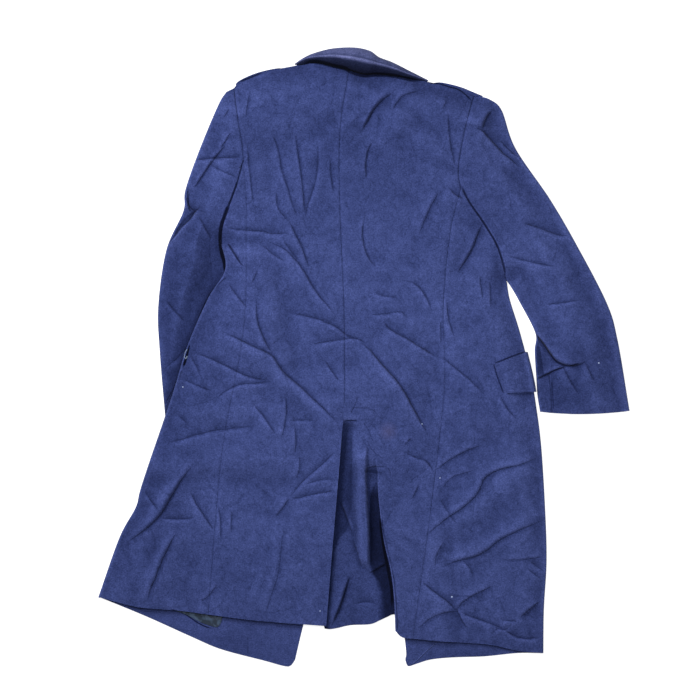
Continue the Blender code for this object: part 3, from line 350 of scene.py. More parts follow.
LEFT_CREASES = [
    (2.6, 1.2, 1, [(-32.0, 36.3), (-27.4, 36.7), (-22.3, 36.9)]),
    (3.0, 1.3, 1, [(-25.1, 39.4), (-27.8, 36.3), (-30.2, 32.7), (-31.5, 30.8)]),
    (2.0, 1.0, 1, [(-24.5, 41.4), (-26.5, 38.2)]),
    (1.6, 1.0, 1, [(-28.4, 35.4), (-23.2, 33.0)]),
    (1.4, 1.0, 1, [(-24.7, 45.8), (-25.8, 44.0)]),
    (2.2, 1.0, 1, [(-32.6, 32.7), (-32.4, 29.6), (-32.0, 26.6)]),
    (4.5, 1.3, -1, [(-29.8, 28.0), (-31.1, 27.0), (-32.0, 25.6), (-33.5, 24.2), (-34.6, 22.8),
                    (-36.2, 20.6)]),
    (3.0, 1.2, 1, [(-33.4, 32.0), (-32.8, 29.6), (-31.9, 27.6), (-30.6, 26.8)]),
    (1.8, 1.2, 1, [(-30.6, 26.3), (-29.3, 24.1), (-28.0, 21.7)]),
    (1.6, 1.2, 1, [(-36.6, 10.7), (-34.8, 8.7), (-32.9, 6.7)]),
    (1.6, 1.2, 1, [(-37.1, -2.1), (-34.4, 0.1), (-32.0, 2.5)]),
]
RIGHT_CREASES = [
    (3.8, 1.2, 1, [(19.8, 42.2), (21.4, 41.8), (22.6, 40.6), (23.9, 39.2), (25.6, 37.4), (27.4, 36.0),
                   (28.7, 34.9)]),
    (3.4, 1.3, 1, [(23.4, 45.4), (22.5, 44.5), (21.9, 43.3), (21.5, 41.9)]),
    (1.8, 1.0, 1, [(24.7, 40.0), (26.9, 37.8), (28.4, 36.7)]),
    (2.0, 1.3, 1, [(28.4, 25.0), (32.0, 23.9), (35.7, 22.6), (37.9, 22.6)]),
    (2.0, 1.3, 1, [(25.6, 18.9), (30.2, 17.7), (35.7, 16.6)]),
    (1.8, 1.3, 1, [(32.9, 9.8), (36.1, 10.2), (39.3, 10.7)]),
    (5.0, 1.4, -1, [(28.4, 7.8), (30.9, 5.0), (32.9, 2.3), (35.0, -0.3), (37.2, -1.3), (39.4, -1.1),
                    (41.4, 0.0)]),
    (3.0, 1.0, -1, [(31.2, -3.9), (33.4, -2.9), (35.4, -1.9), (37.2, -1.5)]),
    (2.0, 0.9, 1, [(40.3, -0.6), (41.2, -2.5), (42.1, -4.3)]),
    (2.0, 0.9, 1, [(36.1, -1.2), (37.5, -3.9), (39.3, -6.7)]),
]

# Deep shadow lines where one cloth stands over another: half width mm, share of the light lost, where in cm
GAPS = [
    (0.6, 0.7, [(-22.1, 36.7), (-22.7, 34.9), (-23.4, 32.3)]),
    (1.4, 0.85, [(-23.1, 33.4), (-23.6, 31.6), (-24.3, 29.7), (-25.4, 26.8), (-26.4, 23.9), (-26.6, 21.5)]),
    (2.8, 0.9, [(-24.6, 29.0), (-25.5, 26.6), (-26.4, 23.9), (-26.5, 21.1), (-26.2, 19.1), (-25.7, 17.3),
                (-25.6, 14.9)]),
    (1.0, 0.6, [(-25.3, 21.3), (-24.3, 19.7), (-23.2, 18.0), (-22.1, 16.7)]),
    (0.5, 0.6, [(-24.5, 15.6), (-26.2, 14.2), (-28.4, 11.8), (-30.0, 8.5), (-31.3, 5.2), (-32.4, 2.7)]),
    (2.0, 0.95, [(-32.2, 3.0), (-32.4, 1.7), (-32.7, 0.3), (-33.3, -1.7)]),
    (0.5, 0.6, [(-33.3, -1.7), (-34.2, -3.8), (-35.3, -5.9), (-36.6, -8.3)]),
    (3.0, 0.8, [(-12.4, 53.9), (-10.8, 54.2), (-9.2, 54.3), (-7.5, 54.0), (-5.7, 53.5), (-3.8, 53.1),
                (-2.4, 52.4), (-0.2, 51.8), (1.6, 51.9), (3.5, 51.9), (5.3, 51.7), (7.1, 51.3), (8.8, 51.0),
                (11.2, 50.6)]),
    (0.8, 0.75, [(30.0, 1.5), (26.7, 0.3), (23.4, -1.0)]),
    (0.7, 0.7, [(23.4, -0.6), (24.3, -3.6), (25.5, -6.7)]),
    (0.4, 0.4, [(25.6, -6.4), (28.4, -6.5), (32.0, -6.4)]),
    (0.8, 0.75, [(31.1, 4.7), (32.9, 2.5), (34.0, 0.8), (35.1, -0.6), (36.8, -1.3), (38.2, -1.2),
                 (39.9, -0.6)]),
    (5.5, 0.5, [(31.3, 2.7), (31.7, 0.5), (32.0, -1.4), (32.2, -3.6)]),
    (0.8, 0.6, [(31.3, -3.8), (33.3, -2.8), (35.0, -2.1), (36.8, -1.4)]),
    (0.5, 0.45, [(34.2, -3.9), (34.4, -6.7), (34.6, -9.6)]),
    (2.4, 0.42, [(-0.4, -20.6), (0.9, -20.6), (2.2, -20.8), (3.3, -21.1)]),
    (0.8, 0.6, [(-3.8, -11.4), (-2.6, -11.3), (-1.3, -11.4)]),
    (2.0, 0.8, [(2.7, -28.1), (3.1, -32.3), (3.7, -36.0), (4.4, -39.6), (4.9, -42.7), (4.9, -46.4)]),
    (0.4, 0.3, [(0.5, -39.4), (2.4, -38.5), (4.4, -37.2)]),
    (1.0, 0.6, [(-2.7, -39.6), (-3.5, -42.4), (-4.6, -45.3), (-5.9, -48.4)]),
    (0.5, 0.4, [(-0.5, -11.4), (0.4, -12.7), (1.1, -14.2), (1.6, -15.6)]),
    (0.6, 0.9, [(-36.1, -45.8), (-34.3, -46.3), (-32.9, -46.9), (-31.6, -47.8), (-30.2, -48.7),
                (-28.8, -49.3), (-27.6, -49.5)]),
    (1.0, 0.8, [(-23.1, 50.6), (-21.4, 51.3), (-19.9, 51.9), (-18.7, 52.4)]),
    (0.9, 0.8, [(11.2, 50.5), (13.7, 50.3), (15.6, 49.7), (16.8, 49.4), (18.1, 48.6), (19.9, 46.8)]),
    (1.0, 0.45, [(-30.4, 27.2), (-32.0, 26.4), (-33.3, 25.2), (-34.6, 23.5), (-36.1, 21.7)]),
    (0.8, 0.45, [(-32.4, 29.7), (-32.4, 27.9), (-31.7, 26.6)]),
    (1.3, 0.78, [(17.3, 32.6), (18.4, 29.9), (19.8, 27.6), (21.2, 25.6), (22.8, 23.1), (24.2, 20.6),
                 (25.4, 17.0), (26.0, 14.0)]),
    (1.6, 0.35, [(15.7, -43.4), (17.8, -43.5), (19.8, -43.6)]),
]
# Thin rims with a painted highlight where edges catch the light: how strongly, and where in cm
RIMS = [
    (1.5, [(-29.8, 26.6), (-30.9, 26.4), (-32.0, 25.4), (-33.1, 24.2), (-34.4, 22.5), (-35.7, 21.0),
           (-36.2, 20.4)]),
    (2.4, [(8.6, -56.1), (9.7, -55.2), (11.2, -53.7), (12.8, -52.4)]),
    (1.3, [(26.5, 38.6), (27.7, 37.2), (29.2, 35.3)]),
    (0.6, [(25.6, -6.0), (28.4, -5.9), (31.5, -5.9)]),
    (0.8, [(-37.0, -9.6), (-35.7, -7.0), (-34.6, -4.8), (-33.7, -3.0)]),
]
# Pale lint on the cloth: x cm, y cm, radius mm
LINT = [
    (-33.31, -5.22, 1.0), (42.82, -0.82, 1.3), (13.72, -21.87, 1.1), (15.92, -43.65, 1.4),
    (10.43, -11.99, 1.0), (-8.23, -46.21, 1.0),
]
# Thread loop that shows beside the left sleeve: x cm, y cm, radius mm
THREAD_LOOP = [
    (-32.6, 1.6, 1.1), (-32.72, 1.42, 1.1), (-32.84, 1.24, 1.1), (-32.95, 1.04, 1.1), (-33.04, 0.82, 1.1),
    (-33.08, 0.58, 1.1), (-33.06, 0.34, 1.1), (-32.96, 0.14, 1.1), (-32.8, 0.02, 1.1), (-32.64, 0.12, 1.1),
    (-32.58, 0.34, 1.1),
]
# Below this the floor side's cloth shows past the hems
HEM_LEVEL = -43.0 * CM
# Faint brown stain: x cm, y cm, radius cm
STAIN = (4.2, -13.3, 2.0)
# Marks: full within a share of the radius, gone at another, how strongly they cover, and their colours
SPOT_CORE, SPOT_END, SPOT_SHARE = 0.55, 1.25, 0.85
STAIN_CORE, STAIN_SHARE = 0.1 * CM, 0.22
LINT_LOOK = (0.42, 0.5, 0.72)
THREAD_LOOK = (0.15, 0.19, 0.27)
STAIN_LOOK = (0.1, 0.075, 0.13)
# Light lost to painted shade at a full groove and the least that is left, and red, green and blue of the
# cloth under painted shade as powers of its share of the light
GROOVE_LOSS, LEAST_LIGHT = 0.36, 0.4
SHADOW_POWERS = (1.14, 1.05, 0.9)
# Width of a line in mm and how far it wanders, for creases and for seams; edges of a deep shadow in mm
CREASE_LINE, SEAM_LINE = (0.9, 1.6), (0.8, 0.5)
GAP_INSIDE, GAP_OUTSIDE = -0.2, 1.4
# Shadow of the body over the left sleeve: reach and the share of light right beside the edge
BODY_SHADOW_REACH, BODY_SHADOW = 1.5 * CM, 0.4
# Scales of the noises, per metre, in the wool and in the faint network of creases
MOTTLE_SCALE, WAVER_SCALE, FIBRE_SCALE, NAP_SCALE = 95.0, 45.0, 430.0, 360.0
WARP_SCALE, NETWORK_SCALE, PATCH_SCALE = 9.0, 17.0, 14.0
# The network: how far it is warped in metres, its line width as a share of a cell, the noise at which its
# patches start and are full, how strongly they show, and the painted shade and light of its darkest and
# lightest facet
NETWORK_WARP, NETWORK_WIDTH = (0.05, 0.05, 0.0), 0.028
PATCH_RANGE, PATCH_SHARE, FACET_TONES = (0.48, 0.62), 0.42, (0.92, 1.08)
# Fibres: range of the noise and the tones it gives; and the depth of the grooves and of the nap
FIBRE_RANGE, FIBRE_TONES = (0.25, 0.75), (0.68, 1.32)
GROOVE_DEPTH, NAP_DEPTH = 0.7 * MM, 1.6 * MM
NODE_STEP, NODES_IN_ROW = 220, 12

CREASE_GAIN = 1.08
CREASE_GROUPS = 5

# Rows and columns of the grids: where the solids have rows too, their number times FINE_ROWS or FINE_COLUMNS
FINE_ROWS = 9
FINE_COLUMNS = 10
ROWS_SHOULDER = 5 * FINE_ROWS
ROWS_ARMHOLE = 6 * FINE_ROWS
ROWS_SIDE = 28 * FINE_ROWS
ROWS_VENT = 17 * FINE_ROWS
ROWS_TO_VENT = ROWS_SHOULDER + ROWS_ARMHOLE + ROWS_SIDE - ROWS_VENT
ROWS_YOKE = 8 * FINE_ROWS
ROWS_YOKE_LOWER = 3 * FINE_ROWS
ROWS_SLEEVE = 14 * FINE_ROWS
COLUMNS_SHOULDER = 5 * FINE_COLUMNS
COLUMNS_NECK = 4 * FINE_COLUMNS
COLUMNS_SIDE = 5 * FINE_COLUMNS
COLUMNS_FRONT = 64
COLUMNS_SLEEVE = 4 * FINE_COLUMNS
COLUMNS_UNDER_SLEEVE = 2 * FINE_COLUMNS
FOLD_STEPS = 8
COLUMNS_LAP = 50
COLUMNS_PLEAT = 16
COLUMNS_RIGHT_BACK = 60
# Rows over which a side fold grows to its full width
INSET_ROWS = 14.0
# Samples between two places of a table, and steps along the lines that heights are measured from
SPAN_SAMPLES = 24
COARSE_SAMPLES = 6
SHOULDER_STEPS, ARMHOLE_STEPS, SIDE_STEPS, INNER_SLEEVE_STEPS = 8, 24, 40, 30
COLLAR_ROWS = 160
COLLAR_COLUMNS = 56
SHOULDER_SAMPLES = 400
STRAP_ROWS = 65
STRAP_COLUMNS = 21
FLAP_ROWS = 33
FLAP_COLUMNS = 33
FLAP_COLUMNS_UNDER = 13
LINING_ROWS = 17
LINING_COLUMNS = 32
COLUMNS_RIGHT_NECK = 60
COLUMNS_RIGHT_SHOULDER = 40

# Smooth random waves: cells of their table, the shift that keeps places above zero, and the wrinkles' level,
# width and second waves
RIPPLE_CELLS = 128
RIPPLE_SHIFT = 50.0
WRINKLE_SEED_STEP = 50
WRINKLE_LEVEL, WRINKLE_WIDTH = 0.35, 0.16
WRINKLE_SECOND, WRINKLE_SECOND_PITCH = 0.6, 0.45
WAVE_SLANT = 0.35
# Mottling of the tone: share, pitch cm, seed
MOTTLES = [(0.05, 4.0, 23), (0.04, 1.2, 29)]
# Further off than any line in metres, and the least squared length of a step
FAR = 1.0
TINY = 1e-12

# Section across a crease, in its widths: start and width of the steep side, start and reach of the soft slope
# behind it, and the share and reach of a broad and of a narrow trough at its line
STEEP_START, STEEP_WIDTH = 0.12, 0.42
SLOPE_START, SLOPE_REACH = 0.3, 1.15
BROAD_TROUGH, BROAD_REACH = 0.45, 0.9
NARROW_TROUGH, NARROW_REACH = 0.35, 0.22
CREASE_REACH = 4.0
# Shares of their length over which the lines fade at each end
CREASE_FADE = 0.3
CREASE_LINE_FADE = 0.15
GAP_FADE = 0.12
FOLD_FADE = 0.3
FOLD_PAST_END = 0.1
# How near a line its colour reaches, where that starts to fade and over how much, and "no line near"
LINE_REACH = 0.9 * CM
CREASE_LINE_END, SEAM_LINE_END, GAP_LINE_END, LINE_END_FADE = 8.0, 9.0, 11.0, 4.0
GAP_REACH = 1.2 * CM
NO_LINE, NO_GAP = 9.0, 20.0
# How strongly a crease's line shows: least, more for each mm of ridge, and most
LINE_LEAST, LINE_FOR_RIDGE, LINE_MOST = 0.35, 4.0, 1.2
# How far creases of one group stay apart, and the steps that this is measured in
CREASE_CLEARANCE = 1.7 * CM
CREASE_SAMPLES = 16

# Seams: depth and half width of the dip, and how far from the coat's edges the surface is calm
SEAM_DEPTH = 0.9 * MM
SEAM_WIDTH = 2.6 * MM
CALM_EDGE = 0.6 * CM
# Painted highlight on the ridges and painted shade in the valleys: cells of the fine and the broad mean,
# and how much and over what height each changes the tone
PAINTED_RELIEF_FINE, PAINTED_RELIEF_BROAD = 2, 6
PAINTED_RELIEF_FINE_SHARE, PAINTED_RELIEF_FINE_HEIGHT = 0.14, 0.4 * MM
PAINTED_RELIEF_BROAD_SHARE, PAINTED_RELIEF_BROAD_HEIGHT = 0.24, 1.2 * MM


def smooth(value):
    t = np.clip(value, 0.0, 1.0)
    return t * t * (3.0 - 2.0 * t)


def mix(a, b, t):
    return a + (b - a) * t


def table_value(table, key):
    """Values of a two-column table at key, smooth between its rows."""
    keys = np.array([row[0] for row in table], float)
    values = np.array([row[1] for row in table], float)
    index = np.clip(np.searchsorted(keys, key) - 1, 0, len(keys) - 2)
    share = smooth((key - keys[index]) / (keys[index + 1] - keys[index]))
    return mix(values[index], values[index + 1], share)


def rounded(table, samples=SPAN_SAMPLES):
    """Dense smooth line in metres through a table of (x, y) in cm."""
    knots = np.array([row[:2] for row in table], float) * CM
    knots = np.vstack([2 * knots[0] - knots[1], knots, 2 * knots[-1] - knots[-2]])
    t = (np.arange(samples) / samples)[:, None]
    spans = []
    for a, b, c, d in zip(knots, knots[1:], knots[2:], knots[3:]):
        spans.append(0.5 * (2 * b + (c - a) * t + (2 * a - 5 * b + 4 * c - d) * t * t
                            + (3 * b - a - 3 * c + d) * t ** 3))
    return np.vstack(spans + [knots[-2][None]])


def coarse(table):
    """Rounded line with few samples, for creases and seams."""
    return rounded(table, COARSE_SAMPLES)


def spaced(line, count):
    """count + 1 points evenly spaced along a line."""
    line = np.asarray(line, float)
    lengths = np.concatenate([[0.0], np.cumsum(np.linalg.norm(np.diff(line, axis=0), axis=1))])
    want = np.linspace(0.0, lengths[-1], count + 1)
    return np.stack([np.interp(want, lengths, line[:, k]) for k in range(line.shape[1])], axis=1)


def edge(*parts):
    """Points along joined tables, each given with its number of rows."""
    points = [spaced(rounded(table), count)[1 if k else 0:] for k, (table, count) in enumerate(parts)]
    return np.vstack(points)


def x_at(line, y):
    """x of a line that runs down the coat, at height y on it."""
    return np.interp(y, line[::-1, 1], line[::-1, 0])


def distance(line, x, y):
    """Shortest way in plan from each place to a line."""
    best = np.full(np.shape(x), FAR)
    for a, b in zip(line, line[1:]):
        dx, dy = b - a
        t = np.clip(((x - a[0]) * dx + (y - a[1]) * dy) / max(dx * dx + dy * dy, TINY), 0.0, 1.0)
        best = np.minimum(best, np.hypot(x - a[0] - dx * t, y - a[1] - dy * t))
    return best


SIDES = ("left", "right")
OUTWARD = {"left": -1.0, "right": 1.0}
LINES = {
    name + "_" + side: rounded(table[side])
    for name, table in (("side", SIDE_EDGE), ("front", FRONT_EDGE), ("underlap", UNDERLAP_EDGE))
    for side in SIDES
}
LINES["sleeve_inner"] = rounded(SLEEVE_INNER["left"])
LINES["vent"] = rounded(VENT_EDGE)
SHOULDER_LINES = [spaced(rounded(SHOULDER[side]), SHOULDER_STEPS) for side in SIDES]
ARMHOLES = {
    side: spaced(rounded(ARMHOLE_UPPER[side] + ARMHOLE_LOWER[side][1:]), ARMHOLE_STEPS) for side in SIDES
}
SIDE_LINES = {side: spaced(rounded(SIDE_EDGE[side]), SIDE_STEPS) for side in SIDES}
BODY_EDGES = SHOULDER_LINES + [SIDE_LINES["left"], SIDE_LINES["right"]]
SLEEVE_EDGES = {side: [spaced(rounded(SLEEVE_OUTER[side]), SIDE_STEPS)] for side in SIDES}
SLEEVE_EDGES["left"].append(SIDE_LINES["left"])
SLEEVE_EDGES["right"].append(spaced(rounded(SLEEVE_INNER["right"]), INNER_SLEEVE_STEPS))
# Seams that show as lines, each with its depth as a share, and the right sleeve's as far as they show
ARMHOLE_DEPTH, CENTRE_DEPTH, SIDE_DEPTH = 0.9, 0.7, 0.5
LEFT_SLEEVE_DEPTH, RIGHT_SLEEVE_DEPTH, CUFF_DEPTH = 0.15, 0.12, 0.8
BACK_SEAM_SHOWN = [(28.4, 15.6), (30.6, 10.4), (33.4, 4.0)]
CUFF_SEAM_SHOWN = [(33.8, -3.2), (34.1, -6.5), (34.2, -9.8)]
ARMHOLE_SEAMS = [(ARMHOLES[side], ARMHOLE_DEPTH) for side in SIDES]


def seams_of(depth, *tables):
    return [(coarse(table), depth) for table in tables]


BODY_SEAMS = seams_of(CENTRE_DEPTH, CENTRE_SEAM)
for side in SIDES:
    BODY_SEAMS += seams_of(SIDE_DEPTH, SIDE_SEAM_UPPER[side], SIDE_SEAM_LOWER[side])
BODY_SEAMS += ARMHOLE_SEAMS
SLEEVE_SEAMS = ARMHOLE_SEAMS + seams_of(LEFT_SLEEVE_DEPTH, BACK_SEAM_UPPER["left"], BACK_SEAM_LOWER["left"])
SLEEVE_SEAMS += seams_of(RIGHT_SLEEVE_DEPTH, BACK_SEAM_UPPER["right"], BACK_SEAM_SHOWN)
SLEEVE_SEAMS += seams_of(CUFF_DEPTH, CUFF_SEAM_SHOWN)
PAINTED_HIGHLIGHT_RIMS = [(coarse(points), -weight) for weight, points in RIMS]


def down(reach):
    """How much of its lift a cloth keeps this far past the edge of what lies below it."""
    return 1.0 - smooth((reach - OVERHANG) / RAMP)


def over_straps(x, y):
    reach = np.minimum(*(distance(line, x, y) for line in SHOULDER_LINES)) - STRAP_WIDTH
    return down(reach)


def over_sleeve(x, y):
    underarm = SLEEVE_INNER["left"][0][1] * CM
    cuff = SLEEVE_INNER["left"][-1][1] * CM
    past_inner = x - x_at(LINES["sleeve_inner"], y)
    return down(past_inner) * down(cuff - y) * smooth((underarm - y + LIFT_START) / LIFT_REACH)


def over_left_front(x, y):
    return down(x - x_at(LINES["front_left"], y))


def over_right_front(x, y):
    return down(x_at(LINES["front_right"], y) - x)


def over_underlap(x, y):
    left = x_at(LINES["underlap_left"], y) - x
    right = x - x_at(LINES["underlap_right"], y)
    top = y - UNDERLAP_EDGE["left"][0][1] * CM
    return down(left) * down(right) * down(top)


def over_flap(side, x, y):
    upper, lower = FLAPS[side][1], FLAPS[side][2]
    inward = -OUTWARD[side] * (x - x_at(LINES["side_" + side], y))
    return down(inward - FLAP_LENGTH_UNDER) * down(y - max(upper) * CM) * down(min(lower) * CM - y)


def over_lining(x, y):
    left, right = LINING_TOP[0][0] * CM, LINING_TOP[1][0] * CM
    return down(left - x) * down(x - right) * down(y - LINING_TOP[0][1] * CM)


def floor_left(x, y):
    flap = (LAYER + SLACK) * over_flap("left", x, y)
    return CLOTH / 2 + LAYER * over_straps(x, y) + flap + SLEEVE_UNDER * over_sleeve(x, y)


def floor_right(x, y):
    slack_layers = over_flap("right", x, y) + over_left_front(x, y)
    return CLOTH / 2 + LAYER * over_straps(x, y) + (LAYER + SLACK) * slack_layers


def ends(along, reach):
    """One along the middle of a line, and nothing at both of its ends."""
    return smooth(along / reach) * smooth((1.0 - along) / reach)


def fold_height(x, y):
    """Sum of the large folds at a place: soft ridges and troughs that fade at both ends."""
    total = np.zeros(np.shape(x))
    for x0, y0, x1, y1, half_width, height in FOLDS:
        ax, ay = x - x0 * CM, y - y0 * CM
        dx, dy = (x1 - x0) * CM, (y1 - y0) * CM
        length = math.hypot(dx, dy)
        along = (ax * dx + ay * dy) / length ** 2
        across = np.abs(ax * dy - ay * dx) / length / (half_width * CM)
        fade = smooth((along + FOLD_PAST_END) / FOLD_FADE) * smooth((1.0 + FOLD_PAST_END - along) / FOLD_FADE)
        total += height * MM * np.exp(-across * across) * fade
    return total


def pressed_height(x, y, on_sleeve=True):
    slack_layers = over_left_front(x, y) + over_right_front(x, y) + over_underlap(x, y)
    slack_layers += over_flap("left", x, y) + over_flap("right", x, y)
    lining = (LINING + SEAM_GAP) * over_lining(x, y)
    lifted = SLEEVE_UNDER * over_sleeve(x, y) if on_sleeve else 0.0
    return CLOTH / 2 + LAYER * over_straps(x, y) + (LAYER + SLACK) * slack_layers + lining + lifted


def ripple(x, y, pitch, seed):
    """Smooth random waves of about one unit, a new value every pitch metres."""
    values = np.random.default_rng(seed).uniform(-1.0, 1.0, (RIPPLE_CELLS, RIPPLE_CELLS))
    u, v = x / pitch + RIPPLE_SHIFT, y / pitch + RIPPLE_SHIFT
    i, j = np.floor(u).astype(int), np.floor(v).astype(int)
    s, t = smooth(u - i), smooth(v - j)
    i0, j0, i1, j1 = (cell % RIPPLE_CELLS for cell in (i, j, i + 1, j + 1))
    low = mix(values[i0, j0], values[i1, j0], s)
    return mix(low, mix(values[i0, j1], values[i1, j1], s), t)


def along_line(x, y, line, reach):
    """Places near a line: which they are, their way off it (above zero to its right) and share along it."""
    low, high = line.min(axis=0) - reach, line.max(axis=0) + reach
    near = (x > low[0]) & (x < high[0]) & (y > low[1]) & (y < high[1])
    px, py = x[near], y[near]
    best = np.full(px.shape, FAR)
    signed = np.ones(px.shape)
    along = np.zeros(px.shape)
    lengths = np.concatenate([[0.0], np.cumsum(np.linalg.norm(np.diff(line, axis=0), axis=1))])
    for k, (a, b) in enumerate(zip(line, line[1:])):
        dx, dy = b - a
        span = math.hypot(dx, dy)
        t = np.clip(((px - a[0]) * dx + (py - a[1]) * dy) / max(span * span, TINY), 0.0, 1.0)
        off = np.hypot(px - a[0] - dx * t, py - a[1] - dy * t)
        closer = off < best
        best = np.where(closer, off, best)
        turn = np.where((px - a[0]) * dy - (py - a[1]) * dx > 0, 1.0, -1.0)
        signed = np.where(closer, off * turn, signed)
        along = np.where(closer, (lengths[k] + t * span) / lengths[-1], along)
    return near, signed, along


def crease_height(x, y, creases):
    """Creases: a steep side at the line and a long soft slope away from it, fading at both ends."""
    total = np.zeros(np.shape(x))
    for ridge, width, side, points in creases:
        near, signed, along = along_line(x, y, coarse(points), CREASE_REACH * width * CM)
        if not near.any():
            continue
        s = signed * side / (width * CM)
        rise = smooth((s + STEEP_START) / STEEP_WIDTH)
        rise = rise * np.exp(-np.maximum(s - SLOPE_START, 0.0) / SLOPE_REACH)
        sunk = BROAD_TROUGH * np.exp(-np.abs(s) / BROAD_REACH)
        sunk = sunk + NARROW_TROUGH * np.exp(-(s / NARROW_REACH) ** 2)
        total[near] += CREASE_GAIN * ridge * MM * ends(along, CREASE_FADE) * (rise - sunk)
    return total


def sorted_creases(creases, groups):
    """Creases shared out so that those of one group stay well clear of each other."""
    sets = [[] for _ in range(groups)]
    lines = [[] for _ in range(groups)]
    for crease in sorted(creases, key=lambda row: -row[0]):
        line = spaced(coarse(crease[3]), CREASE_SAMPLES)
        for held, known in zip(sets, lines):
            if all(distance(other, line[:, 0], line[:, 1]).min() > CREASE_CLEARANCE for other in known):
                held.append(crease)
                known.append(line)
                break
    return sets


def crease_lines(x, y, creases):
    """Signed way off the nearest crease line in mm, and how strong that line is."""
    off, strength = np.full(x.shape, NO_LINE), np.zeros(x.shape)
    for ridge, _, _, points in creases:
        near, signed, along = along_line(x, y, coarse(points), LINE_REACH)
        fade = ends(along, CREASE_LINE_FADE)
        fade = fade * smooth((CREASE_LINE_END * MM - np.abs(signed)) / (LINE_END_FADE * MM))
        fade *= min(LINE_LEAST + ridge / LINE_FOR_RIDGE, LINE_MOST)
        better = fade > strength[near]
        off[near] = np.where(better, signed / MM, off[near])
        strength[near] = np.where(better, fade, strength[near])
    return off, strength


def seam_lines(x, y, seams):
    """Signed way off the nearest seam in mm, and how deep that seam is (below zero a rim with a painted
    highlight).
    """
    off, strength = np.full(x.shape, NO_LINE), np.zeros(x.shape)
    for line, weight in seams:
        near, signed, _ = along_line(x, y, line, LINE_REACH)
        signed = signed / MM
        closer = np.abs(signed) < np.abs(off[near])
        off[near] = np.where(closer, signed, off[near])
        shown = weight * smooth((SEAM_LINE_END - np.abs(signed)) / LINE_END_FADE)
        strength[near] = np.where(closer, shown, strength[near])
    return off, strength


def gap_lines(x, y):
    """Signed way off the nearest deep shadow in mm, its share of the light lost, and its half width in mm."""
    off, strength, half = np.full(x.shape, NO_GAP), np.zeros(x.shape), np.zeros(x.shape)
    for width, share, points in GAPS:
        near, signed, along = along_line(x, y, coarse(points), GAP_REACH)
        signed = signed / MM
        fade = ends(along, GAP_FADE)
        here = width * fade - 1.0 + fade
        fade = fade * smooth((GAP_LINE_END - np.abs(signed)) / LINE_END_FADE)
        closer = np.abs(signed) - here < np.abs(off[near]) - half[near]
        off[near] = np.where(closer, signed, off[near])
        strength[near] = np.where(closer, share * fade, strength[near])
        half[near] = np.where(closer, here, half[near])
    return off, strength, half


def wrinkle(x, y, pitch, seed):
    """Small sharp-bottomed wrinkles: narrow dips where smooth random waves cross zero."""
    waves = ripple(x, y, pitch, seed)
    waves = waves + WRINKLE_SECOND * ripple(x, y, pitch * WRINKLE_SECOND_PITCH, seed + WRINKLE_SEED_STEP)
    return WRINKLE_LEVEL - np.exp(-np.abs(waves) / WRINKLE_WIDTH)


def seam_dip(x, y, seams):
    total = np.zeros(np.shape(x))
    for line, weight in seams:
        total += weight * SEAM_DEPTH * np.exp(-(distance(line, x, y) / SEAM_WIDTH) ** 2)
    return total


def wool_waves(x, y):
    u, v = x + WAVE_SLANT * y, y - WAVE_SLANT * x
    total = 0.0
    for height, waves, a, b, pitch, seed in (
            # height mm, kind, place, pitch cm, seed
            (1.2, ripple, x, y, 6.5, 3), (0.75, ripple, u, v, 3.0, 5), (0.28, ripple, x, y, 1.5, 7),
            (0.1, ripple, x, y, 0.7, 9), (0.45, wrinkle, u, 0.6 * v, 4.2, 13),
            (0.3, wrinkle, 0.7 * v, u, 2.7, 17)):
        total = total + height * waves(a, b, pitch * CM, seed)
    return total * MM


def nearest(lines, x, y):
    return np.minimum.reduce([distance(line, x, y) for line in lines])


def inside_body(x, y):
    return smooth(nearest(BODY_EDGES, x, y) / LOFT_REACH)


def top_height(x, y, on_sleeve=True):
    """Mid height of the coat's top cloth, without the creases."""
    loft = table_value(LOFT_ALONG, y / CM) * MM
    edge_lift = 2 * FOLD_RADIUS - LAYER - SLACK
    fullness = np.maximum(mix(edge_lift, loft + fold_height(x, y), inside_body(x, y)), LEAST_LOFT)
    return pressed_height(x, y, on_sleeve) + fullness


def top_detail(x, y):
    """Creases, waves and seams of the coat's top cloth."""
    return surface_detail(x, y, BODY_SEAMS) * smooth(nearest(BODY_EDGES, x, y) / CALM_EDGE)


def surface_detail(x, y, seams):
    creases = crease_height(x, y, BODY_CREASES + LEFT_CREASES + RIGHT_CREASES)
    return creases + wool_waves(x, y) - seam_dip(x, y, seams)


def sleeve_edge_reach(side, x, y):
    """Way to the sleeve's nearest edge, nothing where the body covers the left sleeve."""
    hidden = (x > x_at(LINES["side_left"], y)) & (y < SIDE_EDGE["left"][0][1] * CM) & (side == "left")
    return np.where(hidden, 0.0, nearest(SLEEVE_EDGES[side], x, y))


def sleeve_height(side, x, y):
    """Outer face of a sleeve: level with the body at the armhole, its own height away from it."""
    reach = sleeve_edge_reach(side, x, y)
    inside = smooth((reach - PRESSED_BAND) / LOFT_REACH)
    loft = table_value(SLEEVE_LOFT_ALONG, y / CM) * MM
    fold = fold_height(x, y) * inside
    own = CLOTH / 2 + 2 * FOLD_RADIUS + np.maximum(inside * loft + fold, 0.0)
    away = smooth(distance(ARMHOLES[side], x, y) / HEAD_REACH)
    calm = smooth(reach / CALM_EDGE)
    return mix(top_height(x, y, False), own, away) + surface_detail(x, y, SLEEVE_SEAMS) * calm + CLOTH / 2


def sleeve_floor(side, x, y):
    away = smooth((distance(ARMHOLES[side], x, y) - STRAP_PAST_SLEEVE) / HEAD_REACH)
    return LAYER * over_straps(x, y) * (1.0 - away)


def patch(left, right, top, bottom):
    """Plan points between four edges: rows along left and right, columns along top and bottom."""
    v = np.linspace(0.0, 1.0, len(left))[:, None, None]
    u = np.linspace(0.0, 1.0, len(top))[None, :, None]
    across = mix(left[:, None], right[:, None], u)
    along = mix(top[None], bottom[None], v)
    corners = mix(mix(top[0], top[-1], u), mix(bottom[0], bottom[-1], u), v)
    return across + along - corners


def lift(plan, height):
    return np.dstack([plan, height(plan[..., 0], plan[..., 1])])


